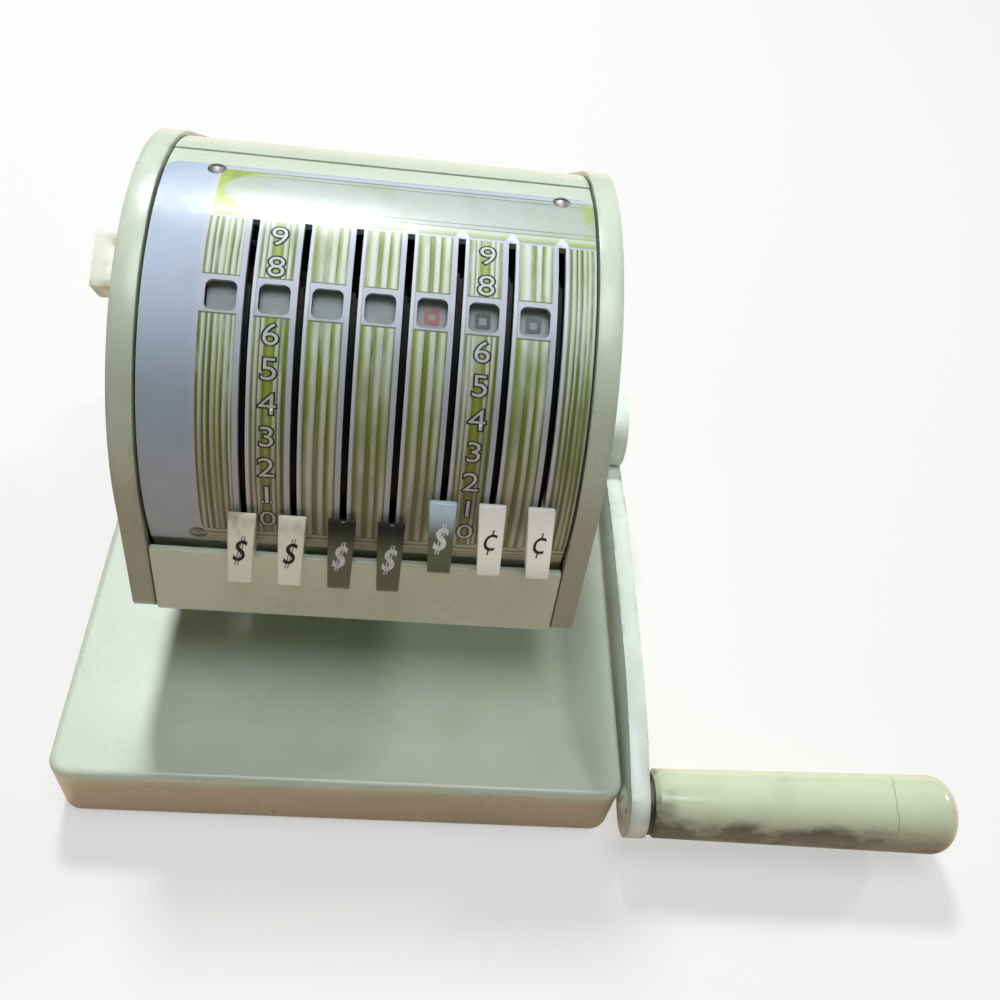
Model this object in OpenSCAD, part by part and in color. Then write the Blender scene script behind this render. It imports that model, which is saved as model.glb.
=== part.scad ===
// Lever-set check writer: a low base, a drum-shaped head with seven key levers, and a side handle.
// Millimetres. X runs to the right, Y to the back and Z up. The origin is on the desk, below the
// middle of the base. Angles on the drum are counted up from its front, about the main shaft.

/* [Base] */
// Width of the base, left to right
base_w = 205; // [196:1:225]
// Depth of the base, front to back
base_d = 230; // [226:1:260]
// Height of the base casting
base_h = 29.3; // [27:0.1:34]
// Wall of the base casting
base_wall = 4; // [3:0.5:5]
// Radius of the base's upright corners
base_corner_r = 8; // [6:1:16]
// Radius of the base's top edges
base_edge_r = 2.7; // [1.5:0.1:4]
// Thickness of the bottom plate
bottom_t = 1.5; // [1:0.1:2]
// Height of the rubber feet
foot_h = 3; // [2.5:0.1:5]
// Diameter of the rubber feet
foot_d = 16; // [14:1:20]

/* [Head] */
// Distance of the head's middle to the right of the base's middle
head_shift = 1.5; // [-2:0.5:4]
// Distance of the main shaft in front of the base's back
axis_in = 103; // [99:1:107]
// Height of the main shaft above the base's top
axis_up = 82.3; // [80:0.1:86]
// Radius of the face plate's surface
face_r = 76.5; // [76:0.1:78]
// How far the cheeks stand out past the face plate
cheek_proud = 1; // [0.5:0.1:2]
// Thickness of a cheek, seen as the rim beside the cover
cheek_t = 7.5; // [6:0.5:9]
// Wall of a cheek
cheek_wall = 2.5; // [2:0.1:3]
// Width between the two cheeks
inner_w = 137; // [135:0.5:142]
// Gap between the cover and each cheek
cover_gap = 0.7; // [0.4:0.1:1]
// Height of the throat between the base and the head
throat_h = 39.7; // [36:0.1:41]
// Distance of the throat's back wall behind the main shaft
throat_back = 24; // [22:1:26]
// Distance of the head's back behind the main shaft
head_back = 86; // [84:1:92]
// How far the lip's lower edge leads the cheek's round front
lip_lead = 6; // [3:0.5:8]
// Height of the lip's top above the throat
lip_h = 31; // [26:0.5:32]
// Thickness of the lip's sheet
lip_t = 2.5; // [1.5:0.1:3]
// Thickness of the side frames
frame_t = 5; // [4:0.5:6]

/* [Face] */
// Thickness of the front cover
cover_t = 1.6; // [1.2:0.1:2]
// Thickness of the face plate
face_t = 0.6; // [0.4:0.1:0.8]
// Distance of the first key lever from the left cheek
first_key = 31.7; // [30:0.1:33]
// Distance of the last key lever from the right cheek
last_key = 11.7; // [11:0.1:13]
// Width of the key slots
slot_w = 2.3; // [2.2:0.1:2.8]
// Angle between two digits
digit_step = 7.75; // [7.5:0.05:7.8]
// Angle of the lowest digit on the face
zero_angle = 3.7; // [3:0.1:5]
// Digit beside which the windows lie
window_digit = 7; // [6:1:8]
// Width of a window
window_w = 9.3; // [8:0.1:10]
// Height of a window
window_h = 9.3; // [8:0.1:9.6]
// Corner radius of a window
window_r = 2.2; // [1:0.1:3]
// Upper end of the front cover
cover_top_angle = 104.5; // [102:0.5:108]
// Lower end of the front cover
cover_low_angle = -12.5; // [-13:0.1:-12]
// Upper end of the face plate
face_top_angle = 96; // [92:0.5:98]
// Lower end of the face plate
face_low_angle = -6.5; // [-8:0.1:-5.5]
// Corner radius at the face plate's top
face_corner_r = 5; // [2:0.5:8]

/* [Keys] */
// Width of a key cap at its top
cap_w = 9; // [8:0.1:10]
// Width of a key cap at its bottom
cap_low_w = 7.2; // [6:0.1:8]
// Length of a cap above its lever
cap_up = 12; // [9:0.5:13]
// Length of a cap below its lever
cap_down = 5.5; // [5:0.5:8]
// How far the cap's lower end stands out from the face
cap_reach = 17; // [12:0.5:19]
// Thickness of the cap's upper end
cap_tip_t = 1.8; // [1.2:0.1:3]
// Thickness of a type sector's blade
blade_t = 2; // [1.6:0.1:2.1]
// Width of the blade where it carries the cap
stem_w = 4.2; // [3:0.1:5]
// Radius of the main shaft
shaft_r = 5; // [4:0.5:6]
// Radius of the printing type
type_r = 60; // [58:0.5:61]
// Radius of the ink roller
ink_r = 8; // [6:0.5:9]

/* [Handle] */
// Thickness of the handle arm
arm_t = 7; // [5:0.5:9]
// Gap between the base's side and the arm
arm_gap = 1.5; // [1.3:0.1:4]
// Height of the arm's bar
arm_h = 24; // [18:1:26]
// Height of the bar's top above the desk
arm_top = 46.5; // [44:0.5:49]
// Distance of the handle shaft behind the main shaft
pivot_back = 39; // [37:1:42]
// Height of the handle shaft above the base's top
pivot_up = 18.7; // [17:0.1:20]
// Radius of the arm's hub
hub_r = 16; // [13:0.5:17]
// Radius of the handle shaft
handle_shaft_r = 6; // [5:0.5:7]
// Height of the grip's axis above the desk
grip_up = 25.3; // [22:0.1:30]
// Distance of the grip's axis behind the base's front
grip_back = 1.9; // [0:0.1:5]
// Radius of the arm's front end
arm_end_r = 12.8; // [10:0.1:14]
// Length of the grip
grip_len = 116.5; // [90:0.5:130]
// Diameter of the grip at the arm
grip_d_in = 25; // [20:0.5:28]
// Diameter of the grip near its end
grip_d_out = 29; // [24:0.5:32]

/* [Hidden] */
$fn = 96;

// Heights and depths of the frame
base_top = foot_h + base_h;
base_under = base_top - base_wall;
base_front = -base_d / 2;
axis_y = base_d / 2 - axis_in;
axis_z = base_top + axis_up;
throat_z = base_top + throat_h;
guard_y = axis_y + throat_back;
back_y = axis_y + head_back;
cheek_r = face_r + cheek_proud;

// Places across the head
left_x = head_shift - inner_w / 2;
right_x = head_shift + inner_w / 2;
cover_x = left_x + cover_gap;
cover_w = inner_w - 2 * cover_gap;
frame_in_x = left_x + frame_t;
frame_span = inner_w - 2 * frame_t;
pocket_t = cheek_t - cheek_wall;

// Clearances: between parts that stand still, between parts that turn, and below the face plate
free = 0.3;
run = 0.05;
plate_gap = 0.3;
cut = 1;

// Radii from the face inwards
cover_r = face_r - face_t - plate_gap;
cover_in_r = cover_r - cover_t;
rim_gap = 1.8;
rim_r = cover_in_r - rim_gap;
rim_t = 2.5;
type_h = 2.5;
hub_ring_r = 9;
detent_r = 22;
notch_r = 1.6;

// Angle at which the head's round top runs out into its slope
crown = 125;

// The key levers and their angles
key_count = 7;
key_pitch = (inner_w - first_key - last_key) / (key_count - 1);
washer_t = 1;
hub_gap = 0.1;
hub_right = 1.4;
hub_left = key_pitch - hub_right - washer_t - 2 * hub_gap;
rim_w = hub_left - 4 * hub_gap;
lever_lead = 2;
blank_angle = zero_angle + lever_lead - digit_step;
nine_angle = zero_angle + lever_lead + 9 * digit_step;
window_angle = zero_angle + window_digit * digit_step;
slot_play = 2.2;
detent_angle = 150;
print_angle = -90;

// Handle
arm_x = base_w / 2 + arm_gap;
arm_out_x = arm_x + arm_t;
pivot_y = axis_y + pivot_back;
pivot_z = base_top + pivot_up;
grip_y = base_front + grip_back;
ferrule_t = 2.5;
grip_bore_r = 4;
grip_round = 8;

// Platen and what lifts it
platen_d = 12;
pad_t = 3;
paper_gap = 1.2;
platen_top = axis_z - type_r - paper_gap - pad_t;
platen_sink = 4.3;
platen_foot = base_under - platen_sink;
rocker_shift = 4.5;
rocker_x = head_shift + rocker_shift;
rocker_w = 10;
rocker_in = 4;
rocker_y = guard_y - rocker_in;
rocker_drop = 10.3;
rocker_z = base_under - rocker_drop;
rocker_pin_r = 3;
cam_r = 8.5;
cam_nose_r = 4;
cam_nose = 9.5;
cam_foot = pivot_z - cam_nose - cam_nose_r;

function key_x(i) = left_x + first_key + (i - 1) * key_pitch;
function rest_angle(i) = i <= 4 ? blank_angle : blank_angle + digit_step;
function polar(r, a) = [-r * cos(a), r * sin(a)];
function step_angle(k) = blank_angle + k * digit_step;
function degrees_of(len, r) = len / r * 180 / PI;

// A side view drawn in Y and Z, made into a solid from x over the width w
module side(x, w) translate([x, 0, 0]) rotate([90, 0, 90]) linear_extrude(w) children();

// A cylinder along X whose end is at x
module rod(x, w, r) translate([x, 0, 0]) rotate([0, 90, 0]) cylinder(h = w, r = r);

module at_axis() translate([0, axis_y, axis_z]) children();
module at_pivot() translate([0, pivot_y, pivot_z]) children();
module at_lever(a) at_axis() rotate([-a, 0, 0]) children();

// Side view of a wedge from angle a0 to a1, far past the cheeks
module fan(a0, a1) {
    parts = ceil((a1 - a0) / 30);
    reach = 2 * face_r;
    polygon(concat([[0, 0]], [for (i = [0:parts]) polar(reach, a0 + (a1 - a0) * i / parts)]));
}

// Side view of a ring piece between two radii and two angles
module ring(r0, r1, a0, a1) intersection() {
    difference() {
        circle(r1);
        circle(r0);
    }
    fan(a0, a1);
}

// A straight bar with round ends between two points of a side view
module link(p, q, w) {
    way = q - p;
    turn = atan2(way[1], way[0]);
    translate(p) circle(w / 2);
    translate(q) circle(w / 2);
    translate(p) rotate(turn) translate([0, -w / 2]) square([norm(way), w]);
}

// Screw with a domed, slotted head that stands on z = 0, and a shank below it
module screw(head_r, head_h, shank_r, shank_len) {
    dome_r = (head_r * head_r + head_h * head_h) / (2 * head_h);
    difference() {
        intersection() {
            translate([0, 0, head_h - dome_r]) sphere(dome_r);
            cylinder(h = head_h, r = head_r);
        }
        translate([-head_r, -head_r / 10, head_h / 2]) cube([2 * head_r, head_r / 5, head_h]);
    }
    translate([0, 0, -shank_len]) cylinder(h = shank_len, r = shank_r);
}

// Plan of a plate with round corners
module plan(w, d, r) {
    square([w - 2 * r, d], center = true);
    square([w, d - 2 * r], center = true);
    for (x = [-1, 1], y = [-1, 1]) translate([x * (w / 2 - r), y * (d / 2 - r)]) circle(r);
}

// Block with round upright corners and rounded top edges
module soft_block(w, d, h, r, e) {
    rotate([90, 0, 0]) linear_extrude(d - 2 * r, center = true) edge_view(w, h, e);
    rotate([90, 0, 90]) linear_extrude(w - 2 * r, center = true) edge_view(d, h, e);
    for (turn = [0:3]) {
        x = turn % 3 == 0 ? 1 : -1;
        y = turn < 2 ? 1 : -1;
        translate([x * (w / 2 - r), y * (d / 2 - r), 0]) rotate(90 * turn) rotate_extrude(angle = 90) {
            square([r, h - e]);
            square([r - e, h]);
            translate([r - e, h - e]) circle(e);
        }
    }
}

// Upright view of a block with two rounded top corners
module edge_view(w, h, e) {
    translate([-w / 2, 0]) square([w, h - e]);
    translate([-w / 2 + e, 0]) square([w - 2 * e, h]);
    for (x = [-1, 1]) translate([x * (w / 2 - e), h - e]) circle(e);
}

// Feet, and the posts in the base that their screws go into
foot_in = 16;
foot_post_r = 6;
foot_hole = 14;
foot_screw_r = 2;
foot_screw_head_r = 4;
foot_screw_grip = 8;
module foot_places() {
    for (x = [-1, 1], y = [-1, 1])
        translate([x * (base_w / 2 - foot_in), y * (base_d / 2 - foot_in), 0]) children();
}

module base_casting() color("#c9d6c6") {
    difference() {
        translate([0, 0, foot_h]) soft_block(base_w, base_d, base_h, base_corner_r, base_edge_r);
        translate([0, 0, foot_h - cut]) linear_extrude(base_h - base_wall + cut)
            plan(base_w - 2 * base_wall, base_d - 2 * base_wall, base_corner_r - base_wall);
        platen_hole();
        rocker_hole();
        frame_bolt_places() translate([0, 0, -base_wall - cut])
            cylinder(h = base_wall + 2 * cut, r = bolt_r + run);
    }
    difference() {
        foot_places() translate([0, 0, foot_h + bottom_t])
            cylinder(h = base_h - bottom_t - base_wall, r = foot_post_r);
        foot_places() translate([0, 0, foot_h]) cylinder(h = foot_hole, r = foot_screw_r + run);
    }
    difference() {
        for (x = [rocker_x - rocker_w / 2 - free - lug_t, rocker_x + rocker_w / 2 + free]) lug(x, lug_t);
        translate([0, rocker_y, rocker_z]) rod(rocker_x - rocker_w, 2 * rocker_w, rocker_pin_r + run / 2);
    }
}

// Ear that hangs below the base's top and holds the rocker's pin
lug_t = 4;
lug_r = 6;
module lug(x, w) {
    translate([x, rocker_y - lug_r, rocker_z]) cube([w, 2 * lug_r, base_under - rocker_z]);
    translate([0, rocker_y, rocker_z]) rod(x, w, lug_r);
}

// How far the type keeps off the rim's two sides, and how far the platen reaches past the type
type_in = 3.5;
type_out = 2.1;
type_w = rim_w - type_in - type_out;
platen_over = 6;
platen_x = key_x(1) - rim_w + type_in - platen_over;
platen_w = (key_count - 1) * key_pitch + type_w + 2 * platen_over;
module platen_hole() {
    translate([platen_x - free, axis_y - platen_d / 2 - free, base_under - cut])
        cube([platen_w + 2 * free, platen_d + 2 * free, base_wall + 2 * cut]);
}

rocker_hole_gap = 1;
rocker_hole_front = 10;
rocker_hole_d = 17;
module rocker_hole() {
    translate([rocker_x - rocker_w / 2 - rocker_hole_gap, pivot_y - rocker_hole_front, base_under - cut])
        cube([rocker_w + 2 * rocker_hole_gap, rocker_hole_d, base_wall + 2 * cut]);
}

module bottom_plate() color("#8f9490") difference() {
    edge = base_wall + free;
    translate([0, 0, foot_h]) linear_extrude(bottom_t)
        plan(base_w - 2 * edge, base_d - 2 * edge, base_corner_r - edge);
    foot_places() translate([0, 0, foot_h - cut]) cylinder(h = bottom_t + 2 * cut, r = foot_screw_r + run);
}

module rubber_feet() color("#2b2b2a") foot_places() difference() {
    cylinder(h = foot_h, r = foot_d / 2);
    translate([0, 0, -cut]) cylinder(h = foot_h + 2 * cut, r = foot_screw_r + run);
    translate([0, 0, -cut]) cylinder(h = foot_h / 2 + cut, r = foot_screw_head_r + 3 * free);
}

module foot_screws() color("#a9abab") foot_places() translate([0, 0, foot_h / 2]) rotate([180, 0, 0])
    screw(foot_screw_head_r, foot_h / 2 - free, foot_screw_r, foot_h / 2 + bottom_t + foot_screw_grip);

// Side view of a cheek, drawn in by d. It bends round the throat.
throat_corner_r = 6;
lip_angle = 5;
module cheek_view(d) {
    front = [axis_y, axis_z] + polar(cheek_r - d, lip_angle);
    lip_y = axis_y - cheek_r - lip_lead + d;
    low = throat_z + d;
    round_r = throat_corner_r - d;
    top = [axis_y, axis_z] + polar(cheek_r - d, crown);
    rear = back_y - d;
    shoulder = top[1] - (rear - top[0]) * tan(crown - 90);
    intersection() {
        translate([axis_y, axis_z]) circle(cheek_r - d);
        translate([axis_y - 2 * cheek_r, low]) square(4 * cheek_r);
    }
    translate([lip_y + round_r, low + round_r]) circle(round_r);
    polygon([front, [lip_y, low + round_r], [lip_y + round_r, low], [guard_y + d, low],
        [guard_y + d, base_top], [rear, base_top], [rear, shoulder], top, [axis_y, axis_z]]);
}

// A cheek whose inner side is hollow but for its rim and the posts of its screws
cheek_rim = 4;
post_r = 6;
module cheek(x, dir) {
    inner = dir > 0 ? x : x + cheek_t - pocket_t;
    difference() {
        union() {
            difference() {
                side(x, cheek_t) cheek_view(0);
                side(dir > 0 ? x - cut : x + cheek_wall, pocket_t + cut) intersection() {
                    cheek_view(cheek_rim);
                    translate([-base_d, base_top + cheek_rim]) square([2 * base_d, 2 * base_d]);
                }
            }
            for (p = cheek_screw_views) translate([0, p[0], p[1]]) rod(inner, pocket_t, post_r);
        }
        for (p = cheek_screw_views) translate([0, p[0], p[1]])
            rod(x - cut, cheek_t + 2 * cut, cheek_screw_r + run);
        at_axis() rod(x - cut, cheek_t + 2 * cut, cheek_screw_r + run);
    }
}

cheek_screw_r = 2;
cheek_head_r = 5;
cheek_head_h = 2;
cheek_screw_in = 16;
cheek_screw_low = 26;
cheek_screw_high = 14;
cheek_screw_views = [[back_y - cheek_screw_in, base_top + cheek_screw_low],
    [back_y - cheek_screw_in, axis_z + cheek_screw_high]];

// Repeat key: its place, its travel and the shank that goes through the left cheek
repeat_angle = 64;
repeat_swing = 9;
repeat_half = 3;
repeat_shank_r = 67;
repeat_shank_h = 3.5;
repeat_tab_w = 6.5;
module left_cheek() color("#c9d6c6") difference() {
    cheek(left_x - cheek_t, -1);
    side(left_x - cheek_t - cut, cheek_wall + 2 * cut) translate([axis_y, axis_z])
        ring(repeat_shank_r - free, repeat_shank_r + repeat_shank_h + free,
            repeat_angle - repeat_half - repeat_swing - 2, repeat_angle + repeat_half + 3);
}

module right_cheek() color("#c9d6c6") difference() {
    cheek(right_x, 1);
    at_pivot() rod(right_x - cut, cheek_t + 2 * cut, handle_shaft_r + 2 * free);
}

module cheek_screws() color("#a9abab") {
    for (p = concat(cheek_screw_views, [[axis_y, axis_z]])) {
        translate([left_x - cheek_t, p[0], p[1]]) rotate([0, -90, 0])
            screw(cheek_head_r, cheek_head_h, cheek_screw_r, cheek_screw_len(p));
        translate([right_x + cheek_t, p[0], p[1]]) rotate([0, 90, 0])
            screw(cheek_head_r, cheek_head_h, cheek_screw_r, cheek_screw_len(p));
    }
}
function cheek_screw_len(p) = p[0] == axis_y ? cheek_t : cheek_t + frame_t - cut;

// Side view of a frame: a post behind the throat and an arm forward to the main shaft
frame_nose_r = 26;
module frame_view() {
    post_d = back_y - rear_t - guard_y;
    translate([axis_y, axis_z]) circle(frame_nose_r);
    translate([axis_y, axis_z - frame_nose_r]) square([throat_back + post_d / 2, 2 * frame_nose_r]);
    translate([guard_y, base_top]) square([post_d, axis_z + frame_nose_r - base_top]);
}

// Tabs at the frames' feet, and the bolts through them
foot_tab = 12;
tab_t = 4;
bolt_r = 2.5;
bolt_head_r = 4.5;
bolt_head_h = 3.5;
bolt_in = 6;
bolt_rear = 12;
module frame_bolt_places() {
    for (x = [frame_in_x + foot_tab / 2, frame_in_x + frame_span - foot_tab / 2],
            y = [guard_y + bolt_in, back_y - bolt_rear])
        translate([x, y, base_top]) children();
}

module side_frame(x, tab_x) color("#9ba19d") difference() {
    union() {
        side(x, frame_t) frame_view();
        translate([tab_x, guard_y, base_top]) cube([foot_tab, back_y - rear_t - guard_y, tab_t]);
    }
    at_axis() rod(x - cut, frame_t + 2 * cut, shaft_r + run / 2);
    at_pivot() rod(x - cut, frame_t + 2 * cut, handle_shaft_r + bush_t);
    for (p = cheek_screw_views) translate([0, p[0], p[1]]) rod(x - cut, frame_t + 2 * cut, cheek_screw_r + run);
    frame_bolt_places() translate([0, 0, -cut]) cylinder(h = tab_t + 2 * cut, r = bolt_r + run);
    ink_place() rod(x - cut, frame_t + 2 * cut, ink_axle_r + run / 2);
    rear_screw_places() translate([0, 0, -rear_screw_len - cut])
        cylinder(h = rear_screw_len + 2 * cut, r = rear_screw_r + run);
}
module left_side_frame() side_frame(left_x, left_x + frame_t);
module right_side_frame() side_frame(right_x - frame_t, right_x - frame_t - foot_tab);

module frame_bolts() color("#a9abab") frame_bolt_places() {
    translate([0, 0, tab_t]) cylinder(h = bolt_head_h, r = bolt_head_r, $fn = 6);
    translate([0, 0, -base_wall - tab_t]) cylinder(h = base_wall + 2 * tab_t, r = bolt_r);
}

// Cutters that point outwards from the drum at angle a
module at_angle(x, a) translate([x, axis_y, axis_z]) rotate([90 - a, 0, 0]) children();

module window_cuts(r0, h, grow) {
    for (i = [1:key_count]) at_angle(key_x(i) - key_pitch / 2, window_angle) translate([0, 0, r0])
        linear_extrude(h) plan(window_w + 2 * grow, window_h + 2 * grow, window_r + grow);
}

module slot_cuts(r0, r1) {
    for (i = [1:key_count]) side(key_x(i) - slot_w / 2, slot_w) translate([axis_y, axis_z])
        ring(r0, r1, blank_angle - slot_play, nine_angle + slot_play);
}

// Front cover: a round sheet with a flange along each cheek
flange_t = 1.2;
flange_h = 6;
hole_depth = 10;
module front_cover() color("#bccbbd") difference() {
    union() {
        side(cover_x, cover_w) translate([axis_y, axis_z])
            ring(cover_in_r, cover_r, cover_low_angle, cover_top_angle);
        for (x = [cover_x, cover_x + cover_w - flange_t]) side(x, flange_t) translate([axis_y, axis_z])
            ring(cover_in_r - flange_h, cover_in_r + free, cover_low_angle, cover_top_angle);
    }
    slot_cuts(cover_in_r - cut, cover_r + cut);
    window_cuts(face_r - hole_depth, 2 * hole_depth, free);
    face_screw_places() translate([0, 0, -hole_depth]) cylinder(h = 2 * hole_depth, r = face_screw_r + run);
}

// Screws of the face plate: two near its top and one at its lower left
face_screw_r = 1.2;
face_head_r = 2.9;
face_head_h = 1.1;
face_screw_left = 16.5;
face_screw_right = 11.2;
face_screw_top = 94;
face_screw_low = -3.6;
face_screw_spots = [[left_x + face_screw_left, face_screw_top], [right_x - face_screw_right, face_screw_top],
    [left_x + face_screw_left, face_screw_low]];
module face_screw_places() {
    for (s = face_screw_spots) at_angle(s[0], s[1]) translate([0, 0, face_r]) children();
}

plate_in = 0.4;
module face_plate() color("#b7c4d6") difference() {
    side(cover_x + plate_in, cover_w - 2 * plate_in) translate([axis_y, axis_z])
        ring(face_r - face_t, face_r, face_low_angle, face_top_angle);
    slot_cuts(face_r - face_t - cut, face_r + cut);
    window_cuts(face_r - hole_depth, 2 * hole_depth, 0);
    face_screw_places() translate([0, 0, -hole_depth]) cylinder(h = 2 * hole_depth, r = face_screw_r + run);
    for (m = [-1, 1]) at_angle(head_shift + m * (cover_w / 2 - plate_in), face_top_angle)
        corner_cut(m, face_corner_r);
}

// Takes a square corner off and leaves it round. The round crosses the edges, so it never just touches.
module corner_cut(m, r) {
    cross = 0.05;
    translate([m * (cross - r), cross - r, face_r - hole_depth]) difference() {
        translate([m > 0 ? 0 : -2 * r, 0, 0]) cube([2 * r, 2 * r, 2 * hole_depth]);
        translate([0, 0, -cut]) cylinder(h = 2 * hole_depth + 2 * cut, r = r);
    }
}

module face_plate_screws() color("#9a9f9d") face_screw_places()
    screw(face_head_r, face_head_h, face_screw_r, face_t + plate_gap + cover_t + cut);

// Lip below the cover, between the cheeks, with a flange that turns in at the bottom
lip_flange = 13;
lip_bend = lip_t + 1;
module lip_panel() color("#c3cfbf") {
    front = [axis_y, axis_z] + polar(cheek_r, lip_angle);
    low_y = axis_y - cheek_r - lip_lead;
    lean = (front[0] - low_y) / (front[1] - throat_z);
    top_y = low_y + lean * lip_h;
    bend_z = throat_z + lip_bend;
    side(left_x + free, inner_w - 2 * free) {
        polygon([[low_y, bend_z], [low_y + lip_t, bend_z], [top_y + lip_t, throat_z + lip_h],
            [top_y, throat_z + lip_h]]);
        translate([low_y + lip_bend, bend_z]) ring(lip_bend - lip_t, lip_bend, -90, 0);
        translate([low_y + lip_bend, throat_z]) square([lip_flange - lip_bend, lip_t]);
    }
}

// Sheet that closes the head's underside in front of the type
type_clear = 1;
throat_plate_t = 1.5;
module throat_plate() color("#a7b0a8") {
    front_y = axis_y - cheek_r - lip_lead + lip_flange + free;
    reach = sqrt(pow(type_r + type_clear, 2) - pow(axis_z - throat_z, 2));
    translate([left_x + free, front_y, throat_z])
        cube([inner_w - 2 * free, axis_y - reach - free - front_y, throat_plate_t]);
}

// Wall behind the throat
guard_t = 1.2;
module throat_guard() color("#a7b0a8") {
    top = axis_z - sqrt(pow(type_r + type_clear, 2) - pow(throat_back, 2)) - free;
    translate([frame_in_x, guard_y - guard_t, base_top]) cube([frame_span, guard_t, top - base_top]);
}

// Rear cover's sheet, how far it lies inside the cheeks, and its screws
rear_t = 1.5;
rear_in = 1.5;
rear_screw_r = 1.5;
rear_head_r = 3.5;
rear_head_h = 1.6;
rear_screw_len = 12;
rear_screw_low = 18;
rear_screw_high = 20;
module rear_screw_places() {
    for (x = [left_x + frame_t / 2, right_x - frame_t / 2],
            z = [base_top + rear_screw_low, axis_z + rear_screw_high])
        translate([x, back_y, z]) rotate([-90, 0, 0]) children();
}

// Sheet over the top and down the back
module rear_cover() color("#bccbbd") difference() {
    r = cheek_r - rear_in;
    side(cover_x, cover_w) translate([axis_y, axis_z]) {
        ring(r - rear_t, r, cover_top_angle + 0.5, crown);
        polygon([polar(r, crown), polar(r - rear_t / 4, crown - 1), polar(r - rear_t * 3 / 4, crown - 1),
            polar(r - rear_t, crown), slope_end(r - rear_t, head_back - rear_t),
            [head_back - rear_t, base_top - axis_z], [head_back, base_top - axis_z],
            slope_end(r, head_back)]);
    }
    rear_screw_places() translate([0, 0, -rear_t - cut]) cylinder(h = rear_t + 2 * cut, r = rear_screw_r + run);
}
function slope_end(r, y) = [y, r * sin(crown) - (y + r * cos(crown)) * tan(crown - 90)];

module rear_cover_screws() color("#9a9f9d") rear_screw_places()
    screw(rear_head_r, rear_head_h, rear_screw_r, rear_screw_len);

module main_shaft() color("#b9bcbc") at_axis() difference() {
    rod(left_x - pocket_t + free, inner_w + 2 * pocket_t - 2 * free, shaft_r);
    rod(left_x - cheek_t, 2 * cheek_t, cheek_screw_r + run);
    rod(right_x - cheek_t, 2 * cheek_t, cheek_screw_r + run);
}

module sector_washers() color("#b9bcbc") at_axis() for (i = [0:key_count])
    difference() {
        washer_x = i == 0 ? key_x(1) - hub_left - hub_gap - washer_t : key_x(i) + hub_right + hub_gap;
        rod(washer_x, washer_t, hub_ring_r - run);
        rod(washer_x - cut, washer_t + 2 * cut, shaft_r + run / 2);
    }

// Bar behind the levers, and the leaf springs that hold each lever at its digit
detent_bar_r = 40;
detent_bar_w = 6;
module detent_bar() color("#9ba19d") at_axis() rotate([90 - detent_angle, 0, 0])
    translate([frame_in_x, -detent_bar_w / 2, detent_bar_r - detent_bar_w / 2])
        cube([frame_span, detent_bar_w, detent_bar_w]);

spring_w = 4;
spring_t = 0.8;
spring_nose_r = 1;
module detent_springs() color("#b9bcbc") at_axis() rotate([90 - detent_angle, 0, 0]) for (i = [1:key_count])
    translate([key_x(i) - spring_w / 2, 0, detent_r + spring_nose_r + free]) {
        rotate([0, 90, 0]) cylinder(h = spring_w, r = spring_nose_r);
        cube([spring_w, detent_bar_w / 2 + spring_t, spring_t]);
        translate([0, detent_bar_w / 2, 0]) cube([spring_w, spring_t, detent_bar_r - detent_r]);
    }

// Type sector of lever i: blade, hub, window rim and type rim
window_half = degrees_of(window_h / 2, face_r) + 1;
rim_low = window_angle - nine_angle - window_half;
rim_high = window_angle - blank_angle + window_half;
type_low = print_angle - nine_angle - lever_lead * 2;
type_high = print_angle - blank_angle + lever_lead * 2;
module type_sector(i) color("#b9bcbc") at_lever(rest_angle(i)) {
    x = key_x(i);
    difference() {
        union() {
            side(x - blade_t / 2, blade_t) sector_view();
            rod(x - hub_left, hub_left + hub_right, hub_ring_r);
            side(x - rim_w, rim_w) ring(rim_r - rim_t, rim_r, rim_low, rim_high);
            side(x - rim_w + type_in / 2, rim_w - type_in / 2)
                ring(type_r - type_h - rim_t, type_r - type_h, type_low, type_high);
            for (d = [0:9]) type_block(x, print_angle - step_angle(d + 1));
        }
        rod(x - hub_left - cut, hub_left + hub_right + 2 * cut, shaft_r + run);
    }
}

module type_block(x, a) side(x - rim_w + type_in, type_w)
    ring(type_r - type_h - type_lap, type_r, a - type_half, a + type_half);

type_half = 2.2;
type_lap = 0.5;
web_lap = 1;
module sector_view() {
    stem_a = degrees_of(stem_w / 2, face_r);
    web_r = type_r - type_h - web_lap;
    difference() {
        union() {
            circle(hub_ring_r - web_lap);
            ring(hub_ring_r - 2 * web_lap, web_r, type_low + 1, rim_high - 1);
            ring(web_r - web_lap, rim_r - web_lap, rim_low + 1, rim_high - 1);
            ring(hub_ring_r - 2 * web_lap, detent_r, detent_angle - nine_angle - digit_step,
                detent_angle - blank_angle + digit_step);
            ring(web_r - web_lap, stem_tip_r, -stem_a, stem_a);
        }
        for (k = [0:10]) rotate(step_angle(k) - detent_angle) translate([-detent_r - notch_r / 3, 0])
            circle(notch_r);
    }
}

// Key cap: a thumb wedge over the blade's tip, seen from the side and then tapered
cap_off = 1.5;
cap_in_r = face_r + cap_off;
stem_in = 5;
stem_tip_r = cap_in_r + stem_in;
cap_rise = 10;
cap_nose = 0.8;
module cap_view() {
    up = degrees_of(cap_up, cap_in_r);
    down = degrees_of(cap_down, cap_in_r);
    tip = cap_in_r + cap_tip_t;
    far = face_r + cap_reach;
    difference() {
        polygon([polar(cap_in_r - cut, up), polar(tip, up), polar(tip + cap_rise * 0.46, up * 0.5),
            polar(tip + cap_rise, 0), polar(far, -down * 0.72), polar(far - cap_nose, -down * 0.86),
            polar(cap_in_r - cut, -down)]);
        circle(cap_in_r);
    }
}

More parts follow.
